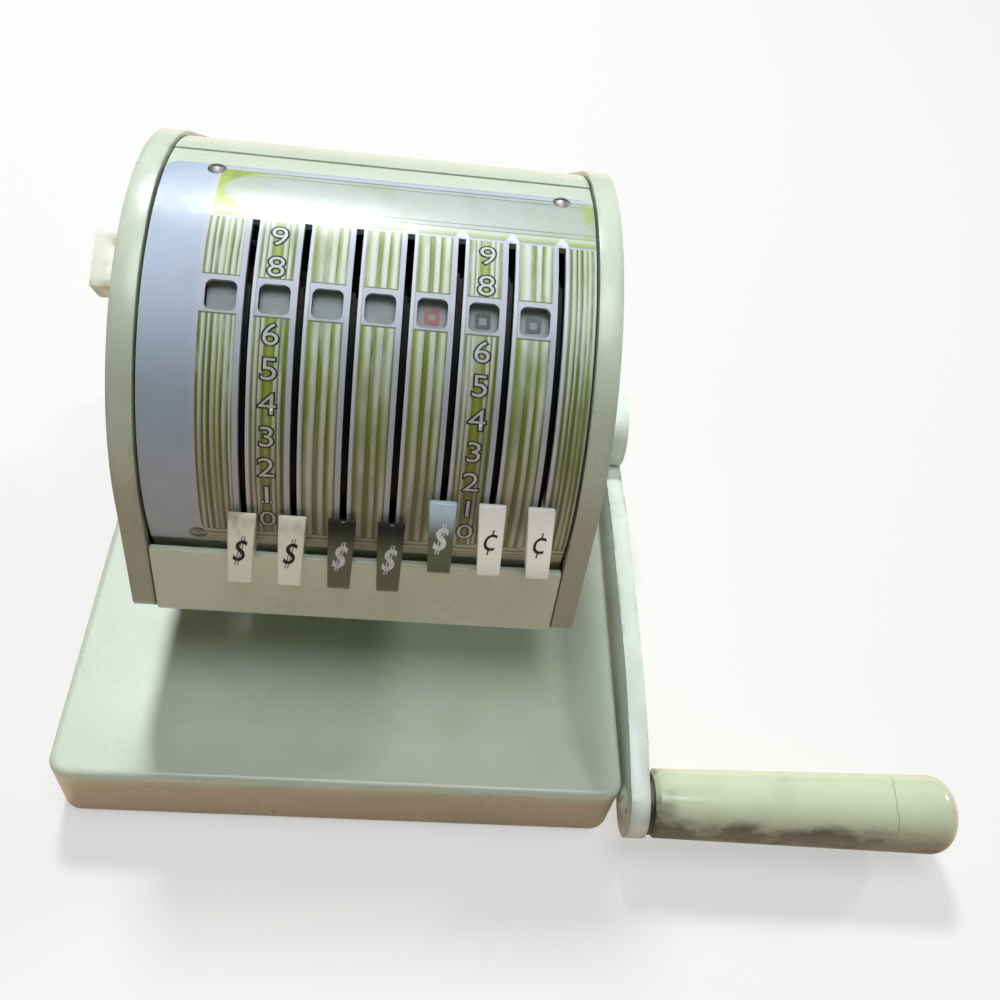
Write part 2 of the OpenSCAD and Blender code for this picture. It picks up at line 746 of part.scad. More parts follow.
module key_cap(i, tint) color(tint) at_lever(rest_angle(i)) {
    x = key_x(i);
    top = cap_w / 2;
    low = cap_low_w / 2;
    flare = (top - low) / 3;
    reach = (cap_up + cap_down) / 3;
    socket_a = degrees_of(stem_w / 2 + 2 * run, face_r);
    difference() {
        intersection() {
            side(x - cap_w, 2 * cap_w) cap_view();
            translate([x, 0, 0]) rotate([90, 0, 0]) linear_extrude(2 * face_r)
                polygon([[-top - flare, cap_up + reach], [top + flare, cap_up + reach],
                    [low - flare, -cap_down - reach], [flare - low, -cap_down - reach]]);
        }
        side(x - blade_t / 2 - run, blade_t + 2 * run)
            ring(cap_in_r - cut, stem_tip_r + run, -socket_a, socket_a);
    }
}

ink_axle_r = 2.5;
ink_gap = 0.5;
ink_up = 2.4;
axle_gap = 0.5;
module ink_place() at_axis() translate([0, type_r + ink_gap + ink_r, ink_up]) children();
module ink_roller_axle() color("#b9bcbc") ink_place()
    rod(left_x + axle_gap, inner_w - 2 * axle_gap, ink_axle_r);
module ink_roller() color("#26262c") ink_place() difference() {
    rod(key_x(1) - hub_left, key_count * key_pitch, ink_r);
    rod(left_x, inner_w, ink_axle_r + run);
}

// Repeat key: a tab outside the left cheek on an arm that turns about the main shaft
repeat_arm_t = 2;
repeat_tab_in = repeat_shank_r - 4;
repeat_tab_out = face_r - 2;
module repeat_key() color("#d3dcc6") at_axis() {
    tab_x = left_x - cheek_t - free - repeat_tab_w;
    arm_x0 = left_x - cheek_t / 2 + free - run;
    shank_top = repeat_shank_r + repeat_shank_h;
    difference() {
        union() {
            side(tab_x, repeat_tab_w)
                ring(repeat_tab_in, repeat_tab_out, repeat_angle - 2 * repeat_half, repeat_angle + 8);
            side(tab_x + repeat_tab_w / 2, arm_x0 - tab_x - repeat_tab_w / 2 + repeat_arm_t / 2)
                ring(repeat_shank_r, shank_top, repeat_angle - repeat_half, repeat_angle + repeat_half);
            side(arm_x0, repeat_arm_t) {
                ring(repeat_shank_r - repeat_shank_h, shank_top, repeat_angle - repeat_half,
                    repeat_angle + repeat_half);
                rotate(-repeat_angle) translate([-repeat_shank_r - 1, -repeat_half])
                    square([repeat_shank_r + 1, 2 * repeat_half]);
                circle(hub_ring_r);
            }
        }
        rod(left_x - cheek_t, cheek_t, shaft_r + run);
    }
}

module platen() color("#8e9391")
    translate([platen_x, axis_y - platen_d / 2, platen_foot])
        cube([platen_w, platen_d, platen_top - platen_foot]);
module platen_pad() color("#2b2b2a") translate([platen_x, axis_y - platen_d / 2, platen_top]) {
    cube([platen_w, platen_d, pad_t]);
}

// Rocker in the base: the cam presses its rear end and its front end lifts the platen
rocker_end_r = 3;
rocker_boss_r = 6;
rocker_gap = 0.4;
rocker_lean = 1;
module platen_rocker() color("#9ba19d") difference() {
    side(rocker_x - rocker_w / 2, rocker_w) {
        pin = [rocker_y, rocker_z];
        heel = [pivot_y - rocker_lean, rocker_z];
        translate(pin) circle(rocker_boss_r);
        link(pin, [axis_y, platen_foot - rocker_gap - rocker_end_r], 2 * rocker_end_r);
        link(pin, heel, 2 * rocker_end_r);
        link(heel, [pivot_y + rocker_lean, cam_foot - rocker_gap - rocker_end_r], 2 * rocker_end_r);
    }
    translate([0, rocker_y, rocker_z]) rod(rocker_x - rocker_w, 2 * rocker_w, rocker_pin_r + run);
}
module rocker_pin() color("#b9bcbc") translate([0, rocker_y, rocker_z])
    rod(rocker_x - rocker_w, 2 * rocker_w, rocker_pin_r);

bush_t = 2;
module shaft_bushes() color("#b08d4a") at_pivot() for (x = [left_x, right_x - frame_t]) difference() {
    rod(x, frame_t, handle_shaft_r + bush_t - run / 2);
    rod(x - cut, frame_t + 2 * cut, handle_shaft_r + run);
}

hub_in = 5;
pin_r = 2;
pin_gap = 0.02;
module handle_shaft() color("#b9bcbc") at_pivot() difference() {
    rod(left_x + axle_gap, arm_out_x - left_x - axle_gap, handle_shaft_r);
    hub_pin_cut(pin_gap);
}
module hub_pin_cut(extra) translate([arm_x - hub_in / 2, 0, -hub_r + axle_gap])
    cylinder(h = 2 * hub_r - 2 * axle_gap, r = pin_r + extra);
module hub_pin() color("#a9abab") at_pivot() hub_pin_cut(0);

spacer_gap = 1;
spacer_wall = 3;
module arm_spacer() color("#9ba19d") at_pivot() difference() {
    spacer_x = right_x + cheek_t + spacer_gap;
    rod(spacer_x, arm_x - hub_in - spacer_x, handle_shaft_r + spacer_wall);
    rod(spacer_x - cut, base_w, handle_shaft_r + run / 2);
}

coil_len = 22;
coil_wall = 2.4;
module return_spring() color("#9a9f9d") at_pivot() difference() {
    rod(right_x - frame_t - coil_len, coil_len, handle_shaft_r + coil_wall);
    rod(right_x - frame_t - coil_len - cut, coil_len + 2 * cut, handle_shaft_r + free);
}

cam_w = 8;
module drive_cam() color("#9ba19d") at_pivot() difference() {
    side(rocker_x - cam_w / 2, cam_w) {
        circle(cam_r);
        link([0, 0], [0, -cam_nose], 2 * cam_nose_r);
    }
    rod(rocker_x - cam_w, 2 * cam_w, handle_shaft_r + run / 2);
}

// Arm: a bar whose top falls away in an arc to the grip's end
bend_in = 60;
hub_drop = 3.5;
module handle_arm() color("#c3d2c4") difference() {
    bend_y = base_front + bend_in;
    drop = arm_top - grip_up - arm_end_r;
    run_y = bend_y - grip_y;
    sweep_r = (run_y * run_y + drop * drop) / (2 * drop);
    low = arm_top - arm_h;
    union() {
        side(arm_x, arm_t) {
            translate([pivot_y, pivot_z]) circle(hub_r);
            translate([grip_y, grip_up]) circle(arm_end_r);
            intersection() {
                translate([bend_y, arm_top - sweep_r]) circle(sweep_r, $fn = 256);
                polygon([[grip_y, grip_up - arm_end_r], [bend_y, low], [bend_y, arm_top + hub_in],
                    [grip_y, arm_top + hub_in]]);
            }
            polygon([[bend_y, low], [pivot_y - 1.6 * hub_r, low], [pivot_y, pivot_z - hub_r],
                [pivot_y, arm_top - hub_drop], [pivot_y - hub_r, arm_top - hub_drop],
                [pivot_y - 3 * hub_r, arm_top], [bend_y, arm_top]]);
        }
        at_pivot() rod(arm_x - hub_in, hub_in, hub_r);
    }
    at_pivot() {
        rod(arm_x - hub_in - cut, arm_t + hub_in + 2 * cut, handle_shaft_r + run / 2);
        hub_pin_cut(pin_gap);
    }
    at_grip() rod(arm_x - cut, arm_t + 2 * cut, grip_bore_r + run / 2);
}

module at_grip() translate([0, grip_y, grip_up]) children();

ferrule_in = 1.3;
module grip_ferrule() color("#8f9490") at_grip() difference() {
    rod(arm_out_x, ferrule_t, arm_end_r - ferrule_in);
    rod(arm_out_x - cut, ferrule_t + 2 * cut, grip_bore_r + run / 2);
}

grip_chamfer = 1.5;
grip_bolt_in = grip_len * 0.6;
module handle_grip() color("#d3dcc6") at_grip() difference() {
    translate([arm_out_x + ferrule_t, 0, 0]) rotate([0, 90, 0]) rotate_extrude() intersection() {
        square([grip_d_out, grip_len]);
        union() {
            r0 = grip_d_in / 2;
            r1 = grip_d_out / 2;
            polygon([[0, 0], [r0 - grip_chamfer, 0], [r0, grip_chamfer], [r1, grip_len - grip_round],
                [r1 - grip_round, grip_len], [0, grip_len]]);
            translate([r1 - grip_round, grip_len - grip_round]) circle(grip_round);
        }
    }
    rod(arm_out_x, ferrule_t + grip_bolt_in + free, grip_bore_r + run / 2);
}

bolt_cap_r = 5.9;
bolt_cap_h = 1.8;
module grip_bolt() color("#a9abab") at_grip() {
    rod(arm_x, arm_t + ferrule_t + grip_bolt_in, grip_bore_r);
    translate([arm_x, 0, 0]) rotate([0, -90, 0]) screw(bolt_cap_r, bolt_cap_h, grip_bore_r - free, cut);
}

cream = "#dfe8d2";
olive = "#4b4f47";
steel_blue = "#6f7d7c";

base_casting();
bottom_plate();
rubber_feet();
foot_screws();
left_side_frame();
right_side_frame();
frame_bolts();
left_cheek();
right_cheek();
cheek_screws();
front_cover();
face_plate();
face_plate_screws();
lip_panel();
throat_plate();
throat_guard();
rear_cover();
rear_cover_screws();
main_shaft();
sector_washers();
detent_bar();
detent_springs();
type_sector(1);  // type_sector_1
type_sector(2);  // type_sector_2
type_sector(3);  // type_sector_3
type_sector(4);  // type_sector_4
type_sector(5);  // type_sector_5
type_sector(6);  // type_sector_6
type_sector(7);  // type_sector_7
key_cap(1, cream);  // key_cap_1
key_cap(2, cream);  // key_cap_2
key_cap(3, olive);  // key_cap_3
key_cap(4, olive);  // key_cap_4
key_cap(5, steel_blue);  // key_cap_5
key_cap(6, cream);  // key_cap_6
key_cap(7, cream);  // key_cap_7
ink_roller_axle();
ink_roller();
repeat_key();
platen();
platen_pad();
platen_rocker();
rocker_pin();
handle_shaft();
shaft_bushes();
return_spring();
drive_cam();
arm_spacer();
handle_arm();
hub_pin();
grip_ferrule();
handle_grip();
grip_bolt();
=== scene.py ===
import bpy
import bmesh
import math
from mathutils import Matrix, Vector


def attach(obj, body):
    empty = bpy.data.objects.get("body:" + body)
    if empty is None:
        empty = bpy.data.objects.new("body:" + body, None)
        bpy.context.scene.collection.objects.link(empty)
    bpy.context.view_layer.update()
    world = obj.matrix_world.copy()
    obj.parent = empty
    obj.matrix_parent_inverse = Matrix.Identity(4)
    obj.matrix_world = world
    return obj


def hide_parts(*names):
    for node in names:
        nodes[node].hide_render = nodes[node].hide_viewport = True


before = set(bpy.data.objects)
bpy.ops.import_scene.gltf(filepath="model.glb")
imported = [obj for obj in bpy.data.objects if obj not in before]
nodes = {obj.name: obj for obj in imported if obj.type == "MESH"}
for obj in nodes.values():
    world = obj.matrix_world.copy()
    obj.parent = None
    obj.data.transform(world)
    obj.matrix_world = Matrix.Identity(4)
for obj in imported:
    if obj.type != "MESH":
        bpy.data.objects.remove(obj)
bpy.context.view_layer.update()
scene = bpy.context.scene
print("frame loaded:", len(nodes), "nodes")

camera = {"place": (0.01311, -0.2679, 0.38594), "turn": 8.79, "down": 50.39, "roll": 10.81, "lens": 37.24}


def addCamera():
    turn, down, roll = (math.radians(camera[k]) for k in ("turn", "down", "roll"))
    forward = Vector((math.sin(turn) * math.cos(down), math.cos(turn) * math.cos(down), -math.sin(down)))
    right = Vector((math.cos(turn), -math.sin(turn), 0))
    up = right.cross(forward)
    rolledRight = math.cos(roll) * right + math.sin(roll) * up
    rolledUp = -math.sin(roll) * right + math.cos(roll) * up
    data = bpy.data.cameras.new("camera")
    data.lens = camera["lens"]
    data.sensor_width = 36
    data.clip_start = 0.01
    eye = bpy.data.objects.new("camera", data)
    axes = Matrix((rolledRight, rolledUp, -forward)).transposed()
    eye.matrix_world = Matrix.Translation(camera["place"]) @ axes.to_4x4()
    scene.collection.objects.link(eye)
    scene.camera = eye


addCamera()
scene.view_settings.view_transform = "Standard"


def srgb(red, green, blue):
    values = []
    for part in (red, green, blue):
        part /= 255
        values.append(part / 12.92 if part <= 0.04045 else ((part + 0.055) / 1.055) ** 2.4)
    return (*values, 1)


def plug(tree, socket, value):
    if isinstance(value, bpy.types.NodeSocket):
        tree.links.new(value, socket)
    else:
        socket.default_value = value


def calc(tree, operation, *values):
    node = tree.nodes.new("ShaderNodeMath")
    node.operation = operation
    for socket, value in zip(node.inputs, values):
        plug(tree, socket, value)
    return node.outputs[0]


def blend(tree, factor, first, second, mode="MIX"):
    node = tree.nodes.new("ShaderNodeMix")
    node.data_type = "RGBA"
    node.blend_type = mode
    node.clamp_factor = True
    plug(tree, node.inputs[0], factor)
    plug(tree, node.inputs[6], first)
    plug(tree, node.inputs[7], second)
    return node.outputs[2]


def remap(tree, value, low, high, newLow=0.0, newHigh=1.0):
    node = tree.nodes.new("ShaderNodeMapRange")
    node.interpolation_type = "SMOOTHSTEP"
    for socket, item in zip(node.inputs, (value, low, high, newLow, newHigh)):
        plug(tree, socket, item)
    return node.outputs[0]


def noise(tree, place, scale, detail=3.0, roughness=0.55, stretch=(1, 1, 1)):
    if stretch != (1, 1, 1):
        mapping = tree.nodes.new("ShaderNodeMapping")
        mapping.inputs["Scale"].default_value = stretch
        plug(tree, mapping.inputs["Vector"], place)
        place = mapping.outputs[0]
    node = tree.nodes.new("ShaderNodeTexNoise")
    plug(tree, node.inputs["Vector"], place)
    plug(tree, node.inputs["Scale"], scale)
    node.inputs["Detail"].default_value = detail
    node.inputs["Roughness"].default_value = roughness
    return node.outputs["Fac"]


def ramp(tree, factor, stops, smooth=True):
    node = tree.nodes.new("ShaderNodeValToRGB")
    node.color_ramp.interpolation = "EASE" if smooth else "CONSTANT"
    elements = node.color_ramp.elements
    elements[0].position, elements[0].color = stops[0]
    elements[1].position, elements[1].color = stops[-1]
    for position, colour in stops[1:-1]:
        elements.new(position).color = colour
    plug(tree, node.inputs[0], factor)
    return node.outputs[0]


def newGroup(name, inputs, outputs):
    tree = bpy.data.node_groups.new(name, "ShaderNodeTree")
    for label, kind, value in inputs:
        socket = tree.interface.new_socket(label, in_out="INPUT", socket_type=kind)
        if value is not None:
            socket.default_value = value
    for label, kind in outputs:
        tree.interface.new_socket(label, in_out="OUTPUT", socket_type=kind)
    return tree, tree.nodes.new("NodeGroupInput").outputs, tree.nodes.new("NodeGroupOutput").inputs


def placeGroup(tree, group, **values):
    node = tree.nodes.new("ShaderNodeGroup")
    node.node_tree = group
    for label, value in values.items():
        plug(tree, node.inputs[label], value)
    return node.outputs


def newMaterial(name):
    material = bpy.data.materials.new(name)
    material.use_nodes = True
    tree = material.node_tree
    shader = tree.nodes["Principled BSDF"]
    place = tree.nodes.new("ShaderNodeTexCoord").outputs["Object"]
    return material, tree, shader, place


def giveBump(tree, shader, height, distance, strength=1.0):
    bump = tree.nodes.new("ShaderNodeBump")
    bump.inputs["Strength"].default_value = strength
    bump.inputs["Distance"].default_value = distance
    plug(tree, bump.inputs["Height"], height)
    tree.links.new(bump.outputs[0], shader.inputs["Normal"])


def split(tree, place):
    node = tree.nodes.new("ShaderNodeSeparateXYZ")
    plug(tree, node.inputs[0], place)
    return node.outputs


# chips: small holes in the paint where "Where" is high
chips, pin, pout = newGroup(
    "chips",
    [("Place", "NodeSocketVector", None), ("Where", "NodeSocketFloat", 0.0), ("Scale", "NodeSocketFloat", 400.0)],
    [("Mask", "NodeSocketFloat")],
)
coarse = noise(chips, pin["Place"], pin["Scale"], 4.0, 0.65)
level = calc(chips, "SUBTRACT", 0.86, calc(chips, "MULTIPLY", pin["Where"], 0.42))
plug(chips, pout["Mask"], remap(chips, coarse, level, calc(chips, "ADD", level, 0.03)))

# grain: fine unevenness for the gloss and the relief
grain, pin, pout = newGroup(
    "grain",
    [("Place", "NodeSocketVector", None), ("Scale", "NodeSocketFloat", 300.0), ("Low", "NodeSocketFloat", 0.2),
     ("High", "NodeSocketFloat", 0.3)],
    [("Value", "NodeSocketFloat"), ("Height", "NodeSocketFloat")],
)
fine = noise(grain, pin["Place"], pin["Scale"], 5.0, 0.6)
broad = noise(grain, pin["Place"], calc(grain, "MULTIPLY", pin["Scale"], 0.06), 2.0)
mixed = calc(grain, "ADD", calc(grain, "MULTIPLY", fine, 0.45), calc(grain, "MULTIPLY", broad, 0.55))
plug(grain, pout["Value"], remap(grain, mixed, 0.35, 0.65, pin["Low"], pin["High"]))
plug(grain, pout["Height"], fine)

# grime: thin dirt in soft patches and small specks
grime, pin, pout = newGroup(
    "grime",
    [("Place", "NodeSocketVector", None), ("Clean", "NodeSocketColor", None), ("Dirt", "NodeSocketColor", None),
     ("Amount", "NodeSocketFloat", 0.3), ("Scale", "NodeSocketFloat", 30.0)],
    [("Colour", "NodeSocketColor")],
)
patches = remap(grime, noise(grime, pin["Place"], pin["Scale"], 5.0, 0.62), 0.42, 0.78)
specks = remap(grime, noise(grime, pin["Place"], calc(grime, "MULTIPLY", pin["Scale"], 26.0), 2.0), 0.7, 0.78)
dirty = calc(grime, "MAXIMUM", calc(grime, "MULTIPLY", patches, 0.6), calc(grime, "MULTIPLY", specks, 0.8))
plug(grime, pout["Colour"], blend(grime, calc(grime, "MULTIPLY", dirty, pin["Amount"]), pin["Clean"], pin["Dirt"]))

# edges: high where the surface turns a corner, because the rounded normal leans away from the true one there
edges, pin, pout = newGroup(
    "edges",
    [("Radius", "NodeSocketFloat", 0.001), ("Low", "NodeSocketFloat", 0.8), ("High", "NodeSocketFloat", 0.97)],
    [("Mask", "NodeSocketFloat")],
)
rounded = edges.nodes.new("ShaderNodeBevel")
rounded.samples = 6
plug(edges, rounded.inputs["Radius"], pin["Radius"])
lean = edges.nodes.new("ShaderNodeVectorMath")
lean.operation = "DOT_PRODUCT"
plug(edges, lean.inputs[0], rounded.outputs[0])
plug(edges, lean.inputs[1], edges.nodes.new("ShaderNodeNewGeometry").outputs["Normal"])
plug(edges, pout["Mask"], remap(edges, lean.outputs["Value"], pin["High"], pin["Low"]))
print("shared effects made")


axisY, axisZ = 0.012, 0.1146
keyPitch = 0.0156
keyX = [-0.0353 + keyPitch * lever for lever in range(7)]
restAngle = [-2.05] * 4 + [5.7] * 3


def aroundShaft(tree, place):
    # place along the shaft, and how far the point lies ahead of it and above it
    x, y, z = split(tree, place)
    return x, calc(tree, "SUBTRACT", axisY, y), calc(tree, "SUBTRACT", z, axisZ)


def drumAngle(tree, place):
    # place along the shaft, and angle above the drum's front in degrees
    x, ahead, above = aroundShaft(tree, place)
    return x, calc(tree, "MULTIPLY", calc(tree, "ARCTAN2", above, ahead), 57.29578)


def drumRadius(tree, place):
    # place along the shaft, and distance from it
    x, ahead, above = aroundShaft(tree, place)
    squares = calc(tree, "ADD", calc(tree, "MULTIPLY", ahead, ahead), calc(tree, "MULTIPLY", above, above))
    return x, calc(tree, "SQRT", squares)


def band(tree, angle, low, high, soft=0.06):
    return calc(tree, "MULTIPLY", remap(tree, angle, low - soft, low + soft),
                remap(tree, angle, high + soft, high - soft))


def bands(tree, angle, spans):
    total = band(tree, angle, *spans[0])
    for span in spans[1:]:
        total = calc(tree, "MAXIMUM", total, band(tree, angle, *span))
    return total


enamel = {
    "body": {"paint": (208, 221, 206), "dirt": (128, 120, 92), "grime": 0.20, "chip": 0.7, "smudge": 0.14,
             "under": (52, 46, 38), "low": None},
    # the cheeks' low tone is painted shade over their lower part
    "cheek": {"paint": (208, 221, 206), "dirt": (112, 104, 80), "grime": 0.28, "chip": 0.9, "smudge": 0.5,
              "under": (48, 42, 36), "low": {"colour": (130, 126, 110), "amount": 0.62, "from": 0.156, "to": 0.116}},
    # the base's low tone is painted warm reflected light on its sides
    "base": {"paint": (208, 221, 206), "dirt": (124, 114, 86), "grime": 0.24, "chip": 0.9, "smudge": 0.4,
             "under": (50, 44, 38), "low": {"colour": (206, 186, 162), "amount": 0.7, "from": 0.0306, "to": 0.024}},
    "arm": {"paint": (228, 243, 236), "dirt": (96, 86, 62), "grime": 0.38, "chip": 1.0, "smudge": 0.5,
            "under": (42, 38, 34), "low": None},
}


def enamelPaint(name, look):
    material, tree, shader, place = newMaterial(name)
    clean = srgb(*look["paint"])
    if look["low"]:
        # below some height the paint is tinted: painted shade on the cheeks, painted warm reflected light on the
        # base's sides
        x, y, z = split(tree, place)
        share = remap(tree, z, look["low"]["from"], look["low"]["to"], 0.0, look["low"]["amount"])
        clean = blend(tree, share, clean, srgb(*look["low"]["colour"]))
    colour = placeGroup(tree, grime, Place=place, Clean=clean, Dirt=srgb(*look["dirt"]), Amount=look["grime"],
                        Scale=22.0)["Colour"]
    # hand dirt lies broadly along the edges, and the paint is chipped right on them
    broad = placeGroup(tree, edges, Radius=0.0045, Low=0.72, High=0.995)["Mask"]
    cloudy = remap(tree, noise(tree, place, 38.0, 5.0, 0.65), 0.40, 0.66)
    smudge = calc(tree, "MULTIPLY", calc(tree, "MULTIPLY", broad, cloudy), look["smudge"])
    colour = blend(tree, smudge, colour, srgb(*look["dirt"]))
    sharp = placeGroup(tree, edges, Radius=0.0012, Low=0.80, High=0.97)["Mask"]
    patchy = remap(tree, noise(tree, place, 60.0, 3.0), 0.45, 0.68)
    where = calc(tree, "MULTIPLY", calc(tree, "MULTIPLY", sharp, patchy), look["chip"])
    chipped = placeGroup(tree, chips, Place=place, Where=where, Scale=700.0)["Mask"]
    specks = remap(tree, noise(tree, place, 900.0, 1.0), 0.75, 0.79)
    worn = calc(tree, "MAXIMUM", chipped, calc(tree, "MULTIPLY", specks, 0.3 * look["chip"]))
    plug(tree, shader.inputs["Base Color"], blend(tree, worn, colour, srgb(*look["under"])))
    fineness = placeGroup(tree, grain, Place=place, Scale=420.0, Low=0.26, High=0.38)
    dull = calc(tree, "MULTIPLY", calc(tree, "MAXIMUM", worn, calc(tree, "MULTIPLY", smudge, 0.5)), 0.4)
    plug(tree, shader.inputs["Roughness"], calc(tree, "ADD", fineness["Value"], dull))
    shader.inputs["Coat Weight"].default_value = 0.3
    shader.inputs["Coat Roughness"].default_value = 0.12
    height = calc(tree, "SUBTRACT", calc(tree, "MULTIPLY", fineness["Height"], 0.12), worn)
    giveBump(tree, shader, height, 0.00012)
    return material


facePlate = {
    # angles round the drum in degrees, places beside a slot in millimetres, colours from 0 to 255
    "stripeFrom": -0.0503, "windowLow": 54.0, "windowHigh": 62.6, "stripeTop": 77.6, "stripeLow": -1.6,
    "panelFrom": 2.5, "panelTo": 12.8, "footRound": 1.6, "lipTo": 2.05, "foldShadowAt": 2.3,
    "bars": [(-3.3, -2.5), (-4.7, -4.2), (-5.9, -5.4)],
    "margin": (190, 200, 220), "strip": (178, 196, 221), "line": (96, 108, 58), "lip": (228, 233, 238),
    "foldShadow": (122, 128, 132), "soilAndShade": (150, 146, 150), "cloud": (152, 164, 180), "ground": (174, 170, 140),
    "bar": (116, 112, 68), "dirt": (100, 94, 80),
    # tones of the painted flutes, fresh below the windows and worn at the foot, where their darkness is partly
    # painted shade
    "fresh": {"olive": (82, 94, 34), "green": (120, 140, 46), "lime": (160, 174, 62), "mint": (180, 196, 164),
              "pale": (212, 220, 214)},
    "worn": {"olive": (64, 66, 34), "green": (96, 100, 56), "lime": (124, 126, 84), "mint": (150, 152, 128),
             "pale": (182, 184, 170)},
    "wide": [(0.0, "olive"), (0.03, "green"), (0.10, "lime"), (0.14, "mint"), (0.19, "pale"), (0.27, "pale"),
             (0.32, "mint"), (0.345, "olive"), (0.38, "green"), (0.47, "green"), (0.50, "mint"), (0.54, "pale"),
             (0.61, "pale"), (0.65, "mint"), (0.675, "olive"), (0.71, "green"), (0.76, "lime"), (0.79, "mint"),
             (0.83, "pale"), (0.90, "pale"), (0.93, "mint"), (0.96, "green"), (1.0, "olive")],
    "narrow": [(0.0, "olive"), (0.04, "green"), (0.09, "pale"), (0.14, "mint"), (0.18, "olive"), (0.22, "pale"),
               (0.28, "mint"), (0.33, "green"), (0.48, "lime"), (0.62, "green"), (0.67, "pale"), (0.73, "mint"),
               (0.77, "olive"), (0.82, "pale"), (0.87, "mint"), (0.92, "olive"), (1.0, "green")],
    "fine": [(0.0, "olive"), (0.05, "green"), (0.11, "pale"), (0.16, "mint"), (0.21, "olive"), (0.28, "pale"),
             (0.33, "green"), (0.38, "olive"), (0.45, "pale"), (0.50, "mint"), (0.55, "green"), (0.61, "pale"),
             (0.66, "lime"), (0.71, "olive"), (0.78, "pale"), (0.83, "mint"), (0.88, "olive"), (0.94, "pale"),
             (1.0, "green")],
}


def paintedFlutes(tree, place, angle, column, across, first, beside):
    # pale ridges between green hollows, brushed unevenly along each column
    look = facePlate
    wander = noise(tree, place, 90.0, 2.0, 0.5, (1.4, 0.3, 0.3))
    shifted = calc(tree, "ADD", across, calc(tree, "MULTIPLY", calc(tree, "SUBTRACT", wander, 0.5), 0.10))
    # the two columns with digits have narrower flutes, and those at the ends finer ones still
    near = calc(tree, "MAXIMUM", calc(tree, "COMPARE", column, 1.0, 0.5), calc(tree, "COMPARE", column, 5.0, 0.5))
    end = calc(tree, "MAXIMUM", first, beside)

    def fluted(tones):
        wide, narrow, fine = (ramp(tree, shifted, [(at, srgb(*look[tones][tone])) for at, tone in look[kind]])
                              for kind in ("wide", "narrow", "fine"))
        return blend(tree, end, blend(tree, near, wide, narrow), fine)

    brushed = noise(tree, place, 120.0, 4.0, 0.65, (1, 0.16, 0.16))
    fresh = blend(tree, remap(tree, brushed, 0.50, 0.68, 0.0, 0.5), fluted("fresh"), srgb(*look["fresh"]["pale"]))
    patch = remap(tree, noise(tree, place, 75.0, 3.0, 0.6, (1, 0.3, 0.3)), 0.48, 0.64, 0.0, 0.65)
    fresh = blend(tree, patch, fresh, srgb(*look["fresh"]["green"]))
    # towards the foot the flutes take the worn tones, which are darker partly as painted shade
    worn = blend(tree, remap(tree, brushed, 0.52, 0.38, 0.0, 0.5), fluted("worn"), srgb(*look["worn"]["green"]))
    foot = remap(tree, calc(tree, "ADD", angle, calc(tree, "MULTIPLY", brushed, 14.0)), 50.0, 18.0, 0.0, 0.85)
    return blend(tree, foot, fresh, worn), foot


header = {
    "field": (80.6, 94.0), "middle": 87.0, "bracketEnd": -0.0470, "bracketBend": 0.0042,
    "lines": [(93.75, 94.15), (92.3, 92.6), (82.0, 82.3), (80.7, 81.0)], "rims": [(95.5, 95.75), (91.4, 91.55)],
    "shelf": (78.45, 80.5), "sill": (78.2, 78.45), "peakTip": 80.8,
    "pane": (178, 189, 188), "blot": (158, 178, 132), "leaf": (138, 156, 92), "lemon": (164, 182, 60),
    "moss": (104, 120, 78), "yellowed": (150, 168, 60), "rim": (140, 156, 164), "shelfTop": (190, 208, 186),
    "shelfLow": (158, 178, 124), "peak": (218, 226, 234),
}


